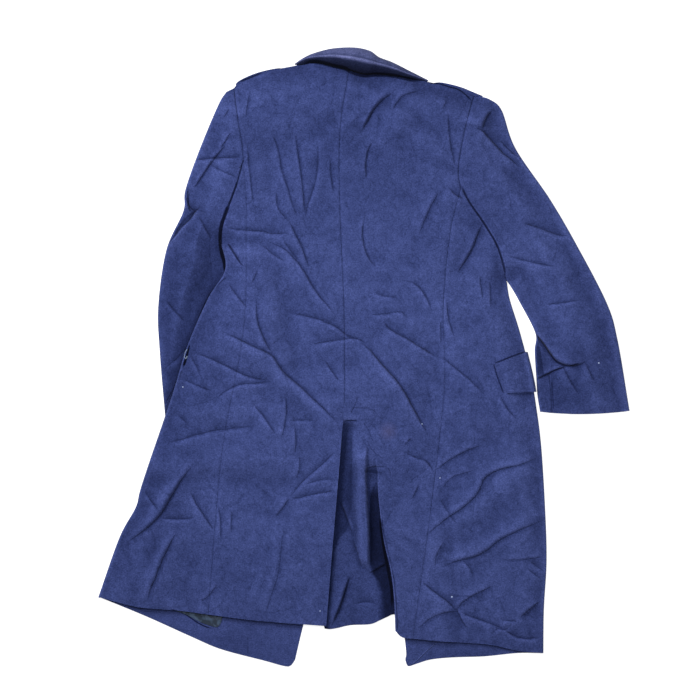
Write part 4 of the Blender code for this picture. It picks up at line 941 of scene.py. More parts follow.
def local_mean(z, reach):
    """Mean height over the cells round each grid point."""
    padded = np.pad(z, reach, mode="edge")
    total = padded.cumsum(axis=0)
    total = total[2 * reach:] - np.vstack([np.zeros((1, total.shape[1])), total[:-2 * reach - 1]])
    total = total.cumsum(axis=1)
    total = total[:, 2 * reach:] - np.hstack([np.zeros((total.shape[0], 1)), total[:, :-2 * reach - 1]])
    return total / (2 * reach + 1) ** 2


def painted_relief_light_and_mottle(grid):
    """Painted highlight on the ridges and painted shade in the valleys, times a random mottle, as a share of
    the cloth's colour.
    """
    z = np.where(np.isnan(grid[..., 2]), np.nanmean(grid[..., 2]), grid[..., 2])
    fine = PAINTED_RELIEF_FINE_SHARE * np.tanh((z - local_mean(z, PAINTED_RELIEF_FINE)) / PAINTED_RELIEF_FINE_HEIGHT)
    broad = PAINTED_RELIEF_BROAD_SHARE * np.tanh((z - local_mean(z, PAINTED_RELIEF_BROAD)) / PAINTED_RELIEF_BROAD_HEIGHT)
    mottle = 1.0
    for share, pitch, seed in MOTTLES:
        mottle = mottle + share * ripple(grid[..., 0], grid[..., 1], pitch * CM, seed)
    return (1.0 + fine + broad) * mottle


def set_points(mesh, name, kind, field, values):
    """New attribute with a value for every point."""
    layer = mesh.attributes.new(name, kind, "POINT")
    layer.data.foreach_set(field, np.asarray(values, np.float32).ravel())


def cloth(name, grid, finish, replaces, slot, flat, area, thickness=CLOTH, rests_on=("floor",), up=None,
          seams=(), creases=(), shade=None):
    """Thin shell whose outer face is the grid; cells with a missing corner are left out."""
    rows, columns = grid.shape[:2]
    there = ~np.isnan(grid[..., 2])
    index = np.cumsum(there.ravel()).reshape(rows, columns) - 1
    cells = there[:-1, :-1] & there[1:, :-1] & there[1:, 1:] & there[:-1, 1:]
    corners = np.stack([index[:-1, :-1], index[1:, :-1], index[1:, 1:], index[:-1, 1:]], axis=2)[cells]
    up = np.ones((rows, columns), bool) if up is None else up
    shade = np.ones((rows, columns)) if shade is None else shade
    points = grid[there]
    x, y = points[:, 0], points[:, 1]
    a, b, c = (points[corners[:, k]] for k in (0, 1, 2))
    if np.cross(b - a, c - a)[up[:-1, :-1][cells], 2].sum() < 0:
        corners = corners[:, ::-1]
    mesh = bpy.data.meshes.new(name)
    mesh.from_pydata(points.tolist(), [], corners.tolist())
    mesh.update()
    mesh.shade_smooth()
    mesh.materials.append(finish)
    # Tone: painted highlight and shade from the relief, random mottle, and painted shade of the listed places
    # and of the piece
    set_points(mesh, "tone", "FLOAT", "value", painted_relief_light_and_mottle(grid)[there] * shade_at(points) * shade[there])
    fields = [("crease_" + str(number), crease_lines(x, y, group)) for number, group in enumerate(creases)]
    # The seam layer also carries the rims with a painted highlight
    fields.append(("seam", seam_lines(x, y, list(seams) + PAINTED_HIGHLIGHT_RIMS)))
    for layer, (off, strength) in fields:
        set_points(mesh, layer, "FLOAT_VECTOR", "vector", np.column_stack([off, strength, 0.0 * off]))
    off, strength, half = gap_lines(x, y)
    strength = strength * (up[there] | (y < HEM_LEVEL))
    set_points(mesh, "gap", "FLOAT_VECTOR", "vector", np.column_stack([off, strength, half]))
    uses = np.zeros(len(mesh.edges), int)
    loops = np.empty(len(mesh.loops), int)
    mesh.loops.foreach_get("edge_index", loops)
    np.add.at(uses, loops, 1)
    sharp = mesh.attributes.new("sharp_edge", "BOOLEAN", "EDGE")
    sharp.data.foreach_set("value", uses == 1)
    piece = bpy.data.objects.new(name, mesh)
    bpy.context.scene.collection.objects.link(piece)
    solid = piece.modifiers.new("Cloth", "SOLIDIFY")
    solid.thickness = thickness
    solid.offset = -1.0
    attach(piece, "root")
    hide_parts(*replaces)


# Painted shade: places where the cloth is painted darker where shade falls or the light falls off:
# (x cm, y cm, half width cm, half height cm, share)
SHADES = [
    (-34.0, 8.0, 8.0, 22.0, 0.66), (-29.0, 16.5, 3.5, 8.0, 0.74), (-24.0, 20.5, 3.0, 5.0, 0.95),
    (40.0, -4.0, 9.0, 9.0, 0.82), (35.5, -6.5, 4.0, 3.6, 0.72), (32.6, 0.2, 1.3, 2.8, 0.6),
    (-44.0, -38.0, 9.0, 14.0, 0.92), (-41.0, -24.0, 6.0, 20.0, 0.79), (-22.0, -42.0, 16.0, 12.0, 0.92),
    (30.0, -48.0, 12.0, 8.0, 0.95), (23.9, 18.4, 0.9, 2.8, 0.55), (24.6, 15.6, 1.0, 3.0, 0.8),
    (20.4, 24.0, 1.9, 3.8, 0.76), (-2.0, 44.0, 30.0, 13.0, 0.84), (-9.0, 53.8, 3.5, 1.2, 0.8),
    (-4.5, 53.1, 3.5, 1.3, 0.75), (0.5, 51.8, 4.0, 1.4, 0.7), (6.0, 51.3, 4.0, 1.2, 0.8),
    (-20.0, -54.5, 14.0, 5.0, 0.86), (20.0, -56.0, 14.0, 2.6, 0.72), (9.5, 53.4, 8.0, 1.2, 0.9),
]


def beside(line, x, y):
    """Painted shadow on the cloth beside a line where another cloth's edge stands over it."""
    return 1.0 - (1.0 - BODY_SHADOW) * np.exp(-distance(line, x, y) / BODY_SHADOW_REACH)


# Painted shade at the listed places, as a share of the cloth's colour
def shade_at(points):
    total = np.ones(len(points))
    for x, y, half_width, half_height, share in SHADES:
        off = ((points[:, 0] / CM - x) / half_width) ** 2 + ((points[:, 1] / CM - y) / half_height) ** 2
        total *= 1.0 + (share - 1.0) * np.exp(-off)
    return total


def bend(first, last, way, radius):
    """Rows of points round a side fold, from the top cloth's outer face to the floor side's."""
    middle = (first + last) / 2
    half = (first[:, 2] - last[:, 2]) / 2
    radius = np.broadcast_to(radius, len(first))[:, None]
    points = []
    for step in range(1, FOLD_STEPS):
        angle = math.pi * (step / FOLD_STEPS - 0.5)
        p = middle.copy()
        p[:, :2] += way * radius * math.cos(angle)
        p[:, 2] -= half * math.sin(angle)
        points.append(p)
    return points


def back_side(side):
    """Outer edge of one half of the back, from the shoulder to the hem."""
    return edge((ARMHOLE_UPPER[side], ROWS_SHOULDER), (SIDE_SEAM_UPPER[side], ROWS_ARMHOLE),
                (SIDE_SEAM_LOWER[side], ROWS_SIDE))


def left_back_grid():
    outer = back_side("left")
    inner = edge((CENTRE_SEAM, ROWS_TO_VENT), (VENT_EDGE, ROWS_VENT))
    top = edge((SHOULDER["left"], COLUMNS_SHOULDER), (NECK["left"], COLUMNS_NECK))
    hem = edge((HEM_BACK, COLUMNS_SHOULDER + COLUMNS_NECK))
    return lift(patch(outer, inner, top, hem), top_outer)


def top_outer(x, y):
    return top_height(x, y) + CLOTH / 2 + top_detail(x, y)


def fold_inset(rows):
    """How far a fold's middle lies inside the outline, from nothing at its upper end."""
    return (FOLD_RADIUS + CLOTH / 2) * smooth(np.arange(rows) / INSET_ROWS)


def marked(grid, first, last):
    """Grid with a mark for the columns on the top side."""
    up = np.zeros(grid.shape[:2], bool)
    up[:, first:last] = True
    return grid, up


def front_panel(side):
    left = side == "left"
    outward = np.array([OUTWARD[side], 0.0])
    side_edge = edge((SIDE_EDGE[side], ROWS_SIDE))
    inset = fold_inset(len(side_edge))
    fold_line = side_edge - outward * inset[:, None]
    lower, upper = ARMHOLE_LOWER[side], ARMHOLE_UPPER[side]
    seam = edge((SIDE_SEAM_UPPER[side], ROWS_ARMHOLE), (SIDE_SEAM_LOWER[side], ROWS_SIDE))
    outer = np.vstack([edge((lower, ROWS_ARMHOLE))[:-1], fold_line])
    top_edge = spaced([outer[0], seam[0]], COLUMNS_SIDE)
    hem = edge((HEM_SIDE[side] if left else HEM_SIDE[side][::-1], COLUMNS_SIDE))
    top = lift(patch(outer, seam, top_edge, hem), top_outer)

    yoke = edge((upper, ROWS_YOKE - ROWS_YOKE_LOWER), (lower, ROWS_YOKE_LOWER))
    floor_outer = np.vstack([yoke[:-1], fold_line])
    front_edge = edge((FRONT_EDGE[side], ROWS_YOKE + ROWS_SIDE))
    shoulder = edge((SHOULDER[side][::-1] if left else SHOULDER[side], COLUMNS_FRONT))
    front_hem = edge((HEM_FRONT[side][::-1], COLUMNS_FRONT))
    height = floor_left if left else floor_right
    floor = lift(patch(front_edge, floor_outer, shoulder, front_hem), lambda x, y: height(x, y) - CLOTH / 2)

    missing = ROWS_YOKE - ROWS_ARMHOLE
    grid = np.full((len(floor), COLUMNS_FRONT + FOLD_STEPS + COLUMNS_SIDE + 1, 3), np.nan)
    grid[:, :COLUMNS_FRONT + 1] = floor
    grid[missing:, -COLUMNS_SIDE - 1:] = top
    turn = bend(floor[ROWS_YOKE:, -1], top[ROWS_YOKE - missing:, 0], outward, inset)
    grid[ROWS_YOKE:, COLUMNS_FRONT + 1:COLUMNS_FRONT + FOLD_STEPS] = np.stack(turn, axis=1)
    return marked(grid, -COLUMNS_SIDE - 1, None)


def sleeve_sag(side, x):
    """How far the right cuff hangs below a straight line; the left one is straight."""
    depth = SAG_DEPTH if side == "right" else 0.0
    return np.maximum(1.0 - ((x / CM - SAG_MIDDLE) / SAG_HALF_WIDTH) ** 2, 0.0) * depth


def sleeve_panels(side):
    """Top and under sleeve, each in one grid round its fold."""
    upper = edge((ARMHOLE_UPPER[side], ROWS_SHOULDER))
    lower = edge((ARMHOLE_LOWER[side], ROWS_ARMHOLE))
    outer = edge((SLEEVE_OUTER[side], ROWS_SHOULDER + ROWS_ARMHOLE + ROWS_SLEEVE))
    inner = edge((SLEEVE_INNER[side], ROWS_SLEEVE))
    across = np.vstack([upper[:-1], lower[:-1], inner]) - outer
    across /= np.linalg.norm(across, axis=1, keepdims=True)
    for _ in range(2 * FINE_ROWS * FINE_ROWS):
        padded = np.vstack([across[:1], across, across[-1:]])
        across = padded[:-2] + 2 * padded[1:-1] + padded[2:]
        across /= np.linalg.norm(across, axis=1, keepdims=True)
    outer_inset, inner_inset = fold_inset(len(outer)), fold_inset(len(inner))
    outer_line = outer + across * outer_inset[:, None]
    inner_line = inner - across[-len(inner):] * inner_inset[:, None]
    halves = {}
    for face, seam_upper, seam_lower, height in (
            ("top", BACK_SEAM_UPPER, BACK_SEAM_LOWER, sleeve_height),
            ("floor", FOREARM_SEAM_UPPER, FOREARM_SEAM_LOWER, sleeve_floor)):
        seam = edge((seam_upper[side], ROWS_ARMHOLE), (seam_lower[side], ROWS_SLEEVE))
        seam_end = seam[-1, 1]
        seam[-1, 1] -= sleeve_sag(side, seam[-1, 0])
        head = spaced([outer_line[0], upper[0]], COLUMNS_SLEEVE)
        cuff = spaced([outer_line[-1], seam[-1]], COLUMNS_SLEEVE)
        known_x, known_y = sorted([cuff[0, 0], cuff[-1, 0]]), sorted([outer_line[-1, 1], seam_end])
        straight = np.interp(cuff[1:-1, 0], known_x, known_y)
        cuff[1:-1, 1] = straight - sleeve_sag(side, cuff[1:-1, 0])
        big = patch(outer_line, np.vstack([upper[:-1], seam]), head, cuff)
        start = spaced([seam[0], lower[0]], COLUMNS_UNDER_SLEEVE)
        end = spaced([seam[-1], inner_line[-1]], COLUMNS_UNDER_SLEEVE)
        small = patch(seam, np.vstack([lower[:-1], inner_line]), start, end)
        halves[face] = [lift(plan, lambda x, y: height(side, x, y)) for plan in (big, small)]
    big_top, small_top = halves["top"]
    big_floor, small_floor = halves["floor"]
    turn = np.stack(bend(big_top[:, 0], big_floor[:, 0], -across, outer_inset), axis=1)
    top_sleeve = np.hstack([big_top[:, ::-1], turn, big_floor])
    turn = np.full((len(small_top), FOLD_STEPS - 1, 3), np.nan)
    ways = across[ROWS_SHOULDER + ROWS_ARMHOLE:]
    folds = bend(small_top[ROWS_ARMHOLE:, -1], small_floor[ROWS_ARMHOLE:, -1], ways, inner_inset)
    turn[ROWS_ARMHOLE:] = np.stack(folds, axis=1)
    under_sleeve = np.hstack([small_top, turn, small_floor[:, ::-1]])
    return marked(top_sleeve, 0, COLUMNS_SLEEVE + 1), marked(under_sleeve, 0, COLUMNS_UNDER_SLEEVE + 1)


def collar_painted_shade(way):
    """Painted shade inside the collar, a painted highlight on its ridge, and a little painted shade beyond
    it.
    """
    at_seam, inside, ridge, beyond = COLLAR_TONES
    if way < COLLAR_INSIDE:
        return mix(at_seam, inside, way / COLLAR_INSIDE)
    if way < 1.0:
        return mix(inside, ridge, float(smooth((way - COLLAR_INSIDE) / COLLAR_LIGHTENS)))
    return mix(ridge, beyond, float(smooth((way - COLLAR_DARKENS[0]) / COLLAR_DARKENS[1])))


def collar_grid():
    neck = edge((NECK["left"], COLUMNS_NECK), (NECK["right"], COLUMNS_SHOULDER))
    seam = spaced(neck, COLLAR_ROWS)
    ridge = spaced(rounded([row[:2] for row in COLLAR_SECTIONS]), COLLAR_ROWS)
    outer = spaced(rounded([row[3:] for row in COLLAR_SECTIONS]), COLLAR_ROWS)
    heights = [(row[0], row[2] * CM) for row in COLLAR_SECTIONS]
    foot = seam + np.array([0.0, -COLLAR_FOOT])
    ridge_height = table_value(heights, ridge[:, 0] / CM)
    foot_height = top_height(seam[:, 0], seam[:, 1])
    ways = spaced(coarse([(w / CM, s / CM) for w, s in COLLAR_PROFILE]), COLLAR_COLUMNS)
    first = COLLAR_PROFILE[0][1]
    columns = []
    for way, share in ways:
        place = mix(foot, ridge, way) if way <= 1.0 else mix(ridge, outer, way - 1.0)
        low = foot_height if way <= 1.0 else np.full(len(seam), CLOTH / 2)
        rise = (share - first) / (1.0 - first) if way <= 1.0 else share
        z = mix(low, np.maximum(ridge_height, low), rise)
        columns.append(np.column_stack([place, z + CLOTH / 2 * min(way, 1.0)]))
    grid = np.stack(columns, axis=1)
    return grid, np.broadcast_to([collar_painted_shade(way) for way, _ in ways], grid.shape[:2])


def strap_grid(side):
    shoulder = rounded(SHOULDER[side] if side == "left" else SHOULDER[side][::-1])
    start, end, shows_start, shows_end = STRAPS[side]
    line = spaced(shoulder, SHOULDER_SAMPLES)
    away = np.array([line[0][1] - line[-1][1], line[-1][0] - line[0][0]])
    away /= np.linalg.norm(away)
    away = -away if away[1] < 0 else away
    v = np.linspace(1.0, -1.0, STRAP_COLUMNS)[:, None]
    columns = []
    for t in np.linspace(0.0, 1.0, STRAP_ROWS):
        step = mix(start, end, t) * SHOULDER_SAMPLES
        place = line[max(round(step), 0)] + (line[0] - line[1]) * max(-step, 0.0)
        shows = mix(shows_start, shows_end, t) * CM
        turned = min(max((t - STRAP_ROUND_FROM) / (1.0 - STRAP_ROUND_FROM), 0.0), 1.0)
        half = STRAP_WIDTH / 2 * math.sqrt(1.0 - STRAP_ROUNDING * turned ** 2)
        middle = place + away * (shows - STRAP_WIDTH / 2)
        columns.append(np.hstack([middle + away * half * v, np.full((STRAP_COLUMNS, 1), CLOTH)]))
    return np.stack(columns)


def flap_grid(side):
    """Pocket flap round the side edge; without a reach on the top side it lies on the floor side alone."""
    outward = OUTWARD[side]
    floor_height = floor_left if side == "left" else floor_right
    reach, upper, lower = FLAPS[side]
    inset = FOLD_RADIUS + CLOTH / 2
    turn_radius = FOLD_RADIUS + LAYER + 3 * SLACK + CLOTH / 2
    v = np.linspace(0.0, 1.0, FLAP_ROWS)
    y_end, y_side, y_floor = (mix(a, b, v) * CM for a, b in zip(upper, lower))
    end = mix(reach[0], reach[1], v) * CM
    line = LINES["side_" + side]
    columns = []
    for share in np.linspace(1.0, 0.0, FLAP_COLUMNS):
        y = mix(y_side, y_end, share)
        x = x_at(line, y) - outward * (inset + (end - inset) * share)
        z = top_height(x, y) + LAYER + 5 * SLACK + CLOTH / 2 + top_detail(x, y)
        columns.append(np.column_stack([x, y, z]))
    under = []
    for share in np.linspace(0.0, 1.0, FLAP_COLUMNS_UNDER):
        y = mix(y_side, y_floor, share)
        x = x_at(line, y) - outward * (inset + FLAP_LENGTH_UNDER * share)
        under.append(np.column_stack([x, y, floor_height(x, y) - LAYER - SLACK - CLOTH / 2]))
    if reach[0] == 0.0:
        return marked(np.stack(under, axis=1), 0, 0)
    turn = bend(columns[-1], under[0], np.array([outward, 0.0]), turn_radius)
    return marked(np.stack(columns + turn + under, axis=1), 0, FLAP_COLUMNS)


# Where the right back is folded in at the vent, in cm: the hidden fold, and the edge that shows
HIDDEN_FOLD_UPPER = [(2.2, 52.0), (0.9, 30.0), (0.9, 9.0), (1.4, -7.6)]
HIDDEN_FOLD_LOWER = [(1.4, -7.6), (1.7, -16.0), (2.2, -20.5), (3.6, -25.5), (4.9, -32.0), (6.4, -40.5),
                     (7.2, -47.4)]
SHOWN_FOLD_UPPER = [(2.9, 52.0), (1.6, 30.0), (1.6, 9.0), (2.0, -7.6)]
SHOWN_FOLD_LOWER = [(2.0, -7.6), (2.3, -16.0), (2.5, -20.5), (2.6, -24.5), (2.9, -28.0), (3.5, -33.0),
                    (4.9, -39.0), (5.5, -44.2), (5.7, -50.0)]
LAP_EDGE = [(-3.7, -7.6), (-5.6, -10.4), (-7.2, -22.2), (-8.4, -37.8), (-8.2, -45.5), (-7.4, -49.5)]
LAP_HEM = [
    (-7.4, -49.5), (-6.4, -49.6), (-5.0, -49.4), (-2.7, -48.9), (0.9, -48.7), (2.7, -48.0), (4.2, -47.3),
    (5.3, -46.9), (7.2, -47.4),
]
HEM_BACK_RIGHT = [(6.4, -50.8), (7.3, -51.2), (8.8, -51.3)]
# Fold that stands up in the underlap: y cm, its left and right side in cm, height in mm
STANDING_FOLD = [
    (-39.6, 0.5, 0.7, 0.0), (-36.4, -1.3, 0.7, 7.0), (-32.3, -2.0, 0.7, 10.0), (-26.0, -2.3, 0.4, 11.0),
    (-21.5, -2.2, 0.2, 10.0), (-18.5, -1.6, 0.3, 5.0), (-15.0, -1.0, 0.4, 0.0),
]
# Right side of the strip of painted shadow along the left vent edge: y cm, x cm
STRIP_RIGHT = [
    (-49.0, -7.0), (-40.0, -6.2), (-36.0, -5.8), (-33.5, -5.2), (-31.0, -3.3), (-26.0, -2.6), (-16.0, -2.5),
    (-12.0, -2.4), (-11.0, -2.2),
]
# Left side of the painted shade in the hollow beside it: y cm, x cm
HOLLOW_LEFT = [
    (-49.5, 2.3), (-44.0, 2.1), (-41.0, 1.7), (-39.2, 1.0), (-36.4, 0.7), (-29.6, 0.6), (-25.3, 0.7),
    (-23.6, 1.2), (-22.6, 1.6), (-21.5, 2.2),
]
# Height on the coat, in cm, below which a change starts, and how far below it is complete
DROP_AT_EDGE = (-10.6, 2.4)
SINK_IN_VENT = (-17.6, 4.4)
STRIP_STARTS = (-11.3, 0.5)
STRIP_DEEPENS = (-12.0, 3.5)
HOLLOW_STARTS = (-21.0, 4.4)
VENT_DARKENS = (-17.0, 8.0)
PLEAT_OPENS = (-19.0, 4.0)
# Light lost to painted shade: in the strip along the edge and more right beside it, in the hollow, and in the
# whole vent
STRIP_LOSS, EDGE_LOSS, HOLLOW_LOSS, VENT_LOSS = 0.52, 0.24, 0.8, 0.22
UNDERLAP_WAVES = 0.4
PLEAT_TURN = 0.9 * CM
# Across the vent, in cm: the drop at the left edge and both sides of the standing fold, each as a shift and a
# reach, and how softly the strip ends and how far its edge's shadow reaches
EDGE_DROP, FOLD_RISE, FOLD_FALL = (0.4, 3.4), (0.3, 1.9), (0.25, 0.5)
STRIP_SOFTNESS, EDGE_SHADOW = 0.5, 0.7
# The strip starts this strong; the hollow is soft at the hem and sharper above
STRIP_TOP = 0.35
HOLLOW_SOFTNESS, HOLLOW_SHARPENS = (1.6, 0.35), (-43.0, 5.0)
# Where the painted shade starts to ease off across the pleat, as a share of its width
PLEAT_LIGHT_FROM = -0.6


def below(y, change):
    start, reach = change
    return smooth((start * CM - y) / (reach * CM))


def underlap_outer(x, y):
    layers = over_left_front(x, y) + over_right_front(x, y)
    return CLOTH + (LAYER + SLACK) * layers + UNDERLAP_WAVES * wool_waves(x, y)


def lap_outer(x, y):
    """Outer face of the cloth between the vent's edges: level with the back above, low in the vent."""
    past_edge = x - x_at(LINES["vent"], y)
    dropped = below(y, DROP_AT_EDGE) * (1.0 - smooth((past_edge - EDGE_DROP[0] * CM) / (EDGE_DROP[1] * CM)))
    level = (1.0 - dropped) * (1.0 - below(y, SINK_IN_VENT))
    fold_left, fold_right, fold_z = (
        table_value([(row[0], row[k]) for row in STANDING_FOLD], y / CM) for k in (1, 2, 3))
    rising = smooth((x / CM - fold_left + FOLD_RISE[0]) / FOLD_RISE[1])
    rising = rising * smooth((fold_right + FOLD_FALL[0] - x / CM) / FOLD_FALL[1])
    low = underlap_outer(x, y) + crease_height(x, y, VENT_CREASES)
    return mix(low, top_outer(x, y), level) + fold_z * MM * rising


def lap_shade(x, y):
    """Painted shade where the left edge stands over the underlap, and in the hollow beside the standing fold.
    """
    past_edge = np.maximum(x - x_at(LINES["vent"], y), 0.0)
    strip = 1.0 - smooth((x / CM - table_value(STRIP_RIGHT, y / CM)) / STRIP_SOFTNESS)
    strip *= below(y, STRIP_STARTS) * mix(STRIP_TOP, 1.0, below(y, STRIP_DEEPENS))
    strip *= STRIP_LOSS + EDGE_LOSS * np.exp(-past_edge / (EDGE_SHADOW * CM))
    softness = mix(*HOLLOW_SOFTNESS, smooth((y / CM - HOLLOW_SHARPENS[0]) / HOLLOW_SHARPENS[1]))
    hollow = smooth((x / CM - table_value(HOLLOW_LEFT, y / CM)) / softness) * below(y, HOLLOW_STARTS)
    return (1.0 - VENT_LOSS * below(y, VENT_DARKENS)) * (1.0 - strip) * (1.0 - HOLLOW_LOSS * hollow)


def right_back_grid():
    """Right back and the underlap of the vent as one cloth, folded in along the vent."""
    first = edge((CENTRE_SEAM, ROWS_TO_VENT), (LAP_EDGE, ROWS_VENT))
    hidden = edge((HIDDEN_FOLD_UPPER, ROWS_TO_VENT), (HIDDEN_FOLD_LOWER, ROWS_VENT))
    shown = edge((SHOWN_FOLD_UPPER, ROWS_TO_VENT), (SHOWN_FOLD_LOWER, ROWS_VENT))
    last = back_side("right")
    neck = edge((NECK["right"], COLUMNS_RIGHT_NECK), (SHOULDER["right"], COLUMNS_RIGHT_SHOULDER))
    split_a, split_b = (int(np.argmin(np.abs(neck[:, 0] - line[0, 0]))) for line in (hidden, shown))
    hidden[0], shown[0] = neck[split_a], neck[split_b]
    lap = patch(first, hidden, spaced(neck[:split_a + 1], COLUMNS_LAP), edge((LAP_HEM, COLUMNS_LAP)))
    hem = edge(([tuple(shown[-1] / CM)] + HEM_BACK_RIGHT, COLUMNS_RIGHT_BACK))
    back = patch(shown, last, spaced(neck[split_b:], COLUMNS_RIGHT_BACK), hem)
    lap, back = lift(lap, lap_outer), lift(back, top_outer)
    start, end = lap[:, -1], back[:, 0]
    folded = below(end[:, 1], PLEAT_OPENS)[:, None]
    reach = np.array([PLEAT_TURN, 0.0, 0.0])
    pleat = []
    for step in range(1, COLUMNS_PLEAT):
        t = step / COLUMNS_PLEAT
        flat = mix(start, end, t)
        flat[:, 2] = top_outer(flat[:, 0], flat[:, 1])
        turned = (start * (1 - t) ** 3 + 3 * (start + reach) * (1 - t) ** 2 * t
                  + 3 * (end - reach) * (1 - t) * t * t + end * t ** 3)
        turned[:, 2] = mix(start[:, 2], end[:, 2], smooth(t))
        pleat.append(mix(flat, turned, folded))
    grid = np.concatenate([lap, np.stack(pleat, axis=1), back], axis=1)
    # Painted shade of the vent, easing off across the pleat
    shade = np.ones(grid.shape[:2])
    shade[:, :COLUMNS_LAP + 1] = lap_shade(lap[..., 0], lap[..., 1])
    inner = COLUMNS_LAP + COLUMNS_PLEAT
    dark = shade[:, COLUMNS_LAP:COLUMNS_LAP + 1]
    light = smooth(np.linspace(PLEAT_LIGHT_FROM, 1.0, COLUMNS_PLEAT + 1)[1:-1])
    shade[:, COLUMNS_LAP + 1:inner] = mix(dark, 1.0, light)
    return grid, shade


# Waves of the lining: height mm, pitch cm, seed
LINING_WAVES = (0.3, 0.8, 11)


def lining_grid():
    u = np.linspace(0.0, 1.0, LINING_COLUMNS + 1)[:, None]
    top = mix(np.array(LINING_TOP[0]), np.array(LINING_TOP[1]), u) * CM
    bottom = spaced(rounded(LINING_BOTTOM), LINING_COLUMNS)
    v = np.linspace(0.0, 1.0, LINING_ROWS)[:, None, None]
    plan = mix(top[None], bottom[None], v)
    rise = CLOTH / 2 + LINING + SEAM_GAP
    height, pitch, seed = LINING_WAVES
    return lift(plan, lambda x, y: floor_left(x, y) + rise + height * ripple(x, y, pitch * CM, seed) * MM)


def feed(tree, made, sockets):
    """Set input sockets: each takes a value, or the output socket that feeds it."""
    for name, value in sockets.items():
        if isinstance(value, bpy.types.NodeSocket):
            tree.links.new(value, made.inputs[name])
        else:
            made.inputs[name].default_value = value


def node(tree, kind, sockets, **fields):
    """New shader node with its sockets fed, placed after the ones before it."""
    made = tree.nodes.new("ShaderNode" + kind)
    row, column = divmod(len(tree.nodes), NODES_IN_ROW)
    made.location = (-NODE_STEP * (NODES_IN_ROW - column), -NODE_STEP * row)
    for field, value in fields.items():
        setattr(made, field, value)
    feed(tree, made, sockets)
    return made


def joined(tree, operation, *terms):
    return node(tree, "Math", dict(enumerate(terms)), operation=operation).outputs[0]


def noise(tree, where, scale, detail, **sockets):
    sockets.update(Scale=scale, Detail=detail, Vector=where)
    return node(tree, "TexNoise", sockets).outputs["Fac"]


def ranged(tree, value, low, high, to_low, to_high):
    """Value moved from one range to another and held at its ends."""
    sockets = {"Value": value, "From Min": low, "From Max": high, "To Min": to_low, "To Max": to_high}
    return node(tree, "MapRange", sockets).outputs["Result"]


def ramp(tree, factor, *stops):
    """Colour by a factor, from two rows of (position, colour)."""
    made = node(tree, "ValToRGB", {"Fac": factor})
    for element, (position, colour) in zip(made.color_ramp.elements, stops):
        element.position = position
        element.color = (*colour, 1.0)
    return made.outputs["Color"]


def over(tree, factor, first, second, **fields):
    made = node(tree, "Mix", {"Factor": factor, "A": first, "B": second}, data_type="RGBA", **fields)
    return made.outputs["Result"]


def layer_values(tree, layer):
    """The three values of one of the cloth's own layers."""
    held = node(tree, "Attribute", {}, attribute_name=layer).outputs["Vector"]
    return node(tree, "SeparateXYZ", {0: held}).outputs


def bell(tree, off, width):
    """One at nothing, falling away like a bell curve of this width."""
    square = joined(tree, "MULTIPLY", joined(tree, "MULTIPLY", off, off), -1.0 / width ** 2)
    return joined(tree, "EXPONENT", square)


def line_groove(tree, layer, waver, width, wander):
    """Thin groove along the lines of one layer: 1 at the line, 0 away from it."""
    values = layer_values(tree, layer)
    shift = joined(tree, "MULTIPLY_ADD", waver, 2.0 * wander, -wander)
    return joined(tree, "MULTIPLY", bell(tree, joined(tree, "ADD", values["X"], shift), width), values["Y"])


def deep_shadow(tree):
    """Share of the light left by the deep shadow lines."""
    values = layer_values(tree, "gap")
    past = joined(tree, "SUBTRACT", joined(tree, "ABSOLUTE", values["X"]), values["Z"])
    lost = joined(tree, "MULTIPLY", ranged(tree, past, GAP_INSIDE, GAP_OUTSIDE, 1.0, 0.0), values["Y"])
    return joined(tree, "MULTIPLY_ADD", lost, -1.0, 1.0)


def crumpled(tree, where):
    """Faint secondary creases in a broken network, and painted light and shade that makes the facets between
    them slightly different.
    """
    warp = node(tree, "TexNoise", {"Scale": WARP_SCALE, "Detail": 2.0, "Vector": where}).outputs["Color"]
    bent = node(tree, "VectorMath", {0: warp, 1: NETWORK_WARP, 2: where}, operation="MULTIPLY_ADD")
    cells = {}
    for feature in ("DISTANCE_TO_EDGE", "SMOOTH_F1"):
        sockets = {"Scale": NETWORK_SCALE, "Vector": bent.outputs["Vector"]}
        cells[feature] = node(tree, "TexVoronoi", sockets, feature=feature, voronoi_dimensions="2D")
    facets = cells["SMOOTH_F1"]
    facets.inputs["Smoothness"].default_value = 0.25
    line = bell(tree, cells["DISTANCE_TO_EDGE"].outputs["Distance"], NETWORK_WIDTH)
    shown = ranged(tree, noise(tree, where, PATCH_SCALE, 1.0), *PATCH_RANGE, 0.0, PATCH_SHARE)
    colour = node(tree, "SeparateXYZ", {0: facets.outputs["Color"]}).outputs
    return joined(tree, "MULTIPLY", line, shown), ranged(tree, colour["X"], 0.0, 1.0, *FACET_TONES)


def with_marks(tree, where, colour):
    """Lint, the thread loop and a faint stain over the wool's colour."""
    flat = node(tree, "VectorMath", {0: where, 1: (1.0, 1.0, 0.0)}, operation="MULTIPLY").outputs["Vector"]
    marks = [(x, y, SPOT_CORE * r * MM, SPOT_END * r * MM, SPOT_SHARE, look)
             for spots, look in ((LINT, LINT_LOOK), (THREAD_LOOP, THREAD_LOOK)) for x, y, r in spots]
    marks.append((STAIN[0], STAIN[1], STAIN_CORE, STAIN[2] * CM, STAIN_SHARE, STAIN_LOOK))
    for x, y, inner, outer, share, look in marks:
        away = node(tree, "VectorMath", {0: flat, 1: (x * CM, y * CM, 0.0)}, operation="DISTANCE")
        cover = ranged(tree, away.outputs["Value"], inner, outer, share, 0.0)
        colour = over(tree, cover, colour, (*look, 1.0))
    return colour


def material(name, sockets):
    made = bpy.data.materials.new(name)
    made.use_nodes = True
    shader = made.node_tree.nodes["Principled BSDF"]
    feed(made.node_tree, shader, sockets)
    return made, made.node_tree, shader


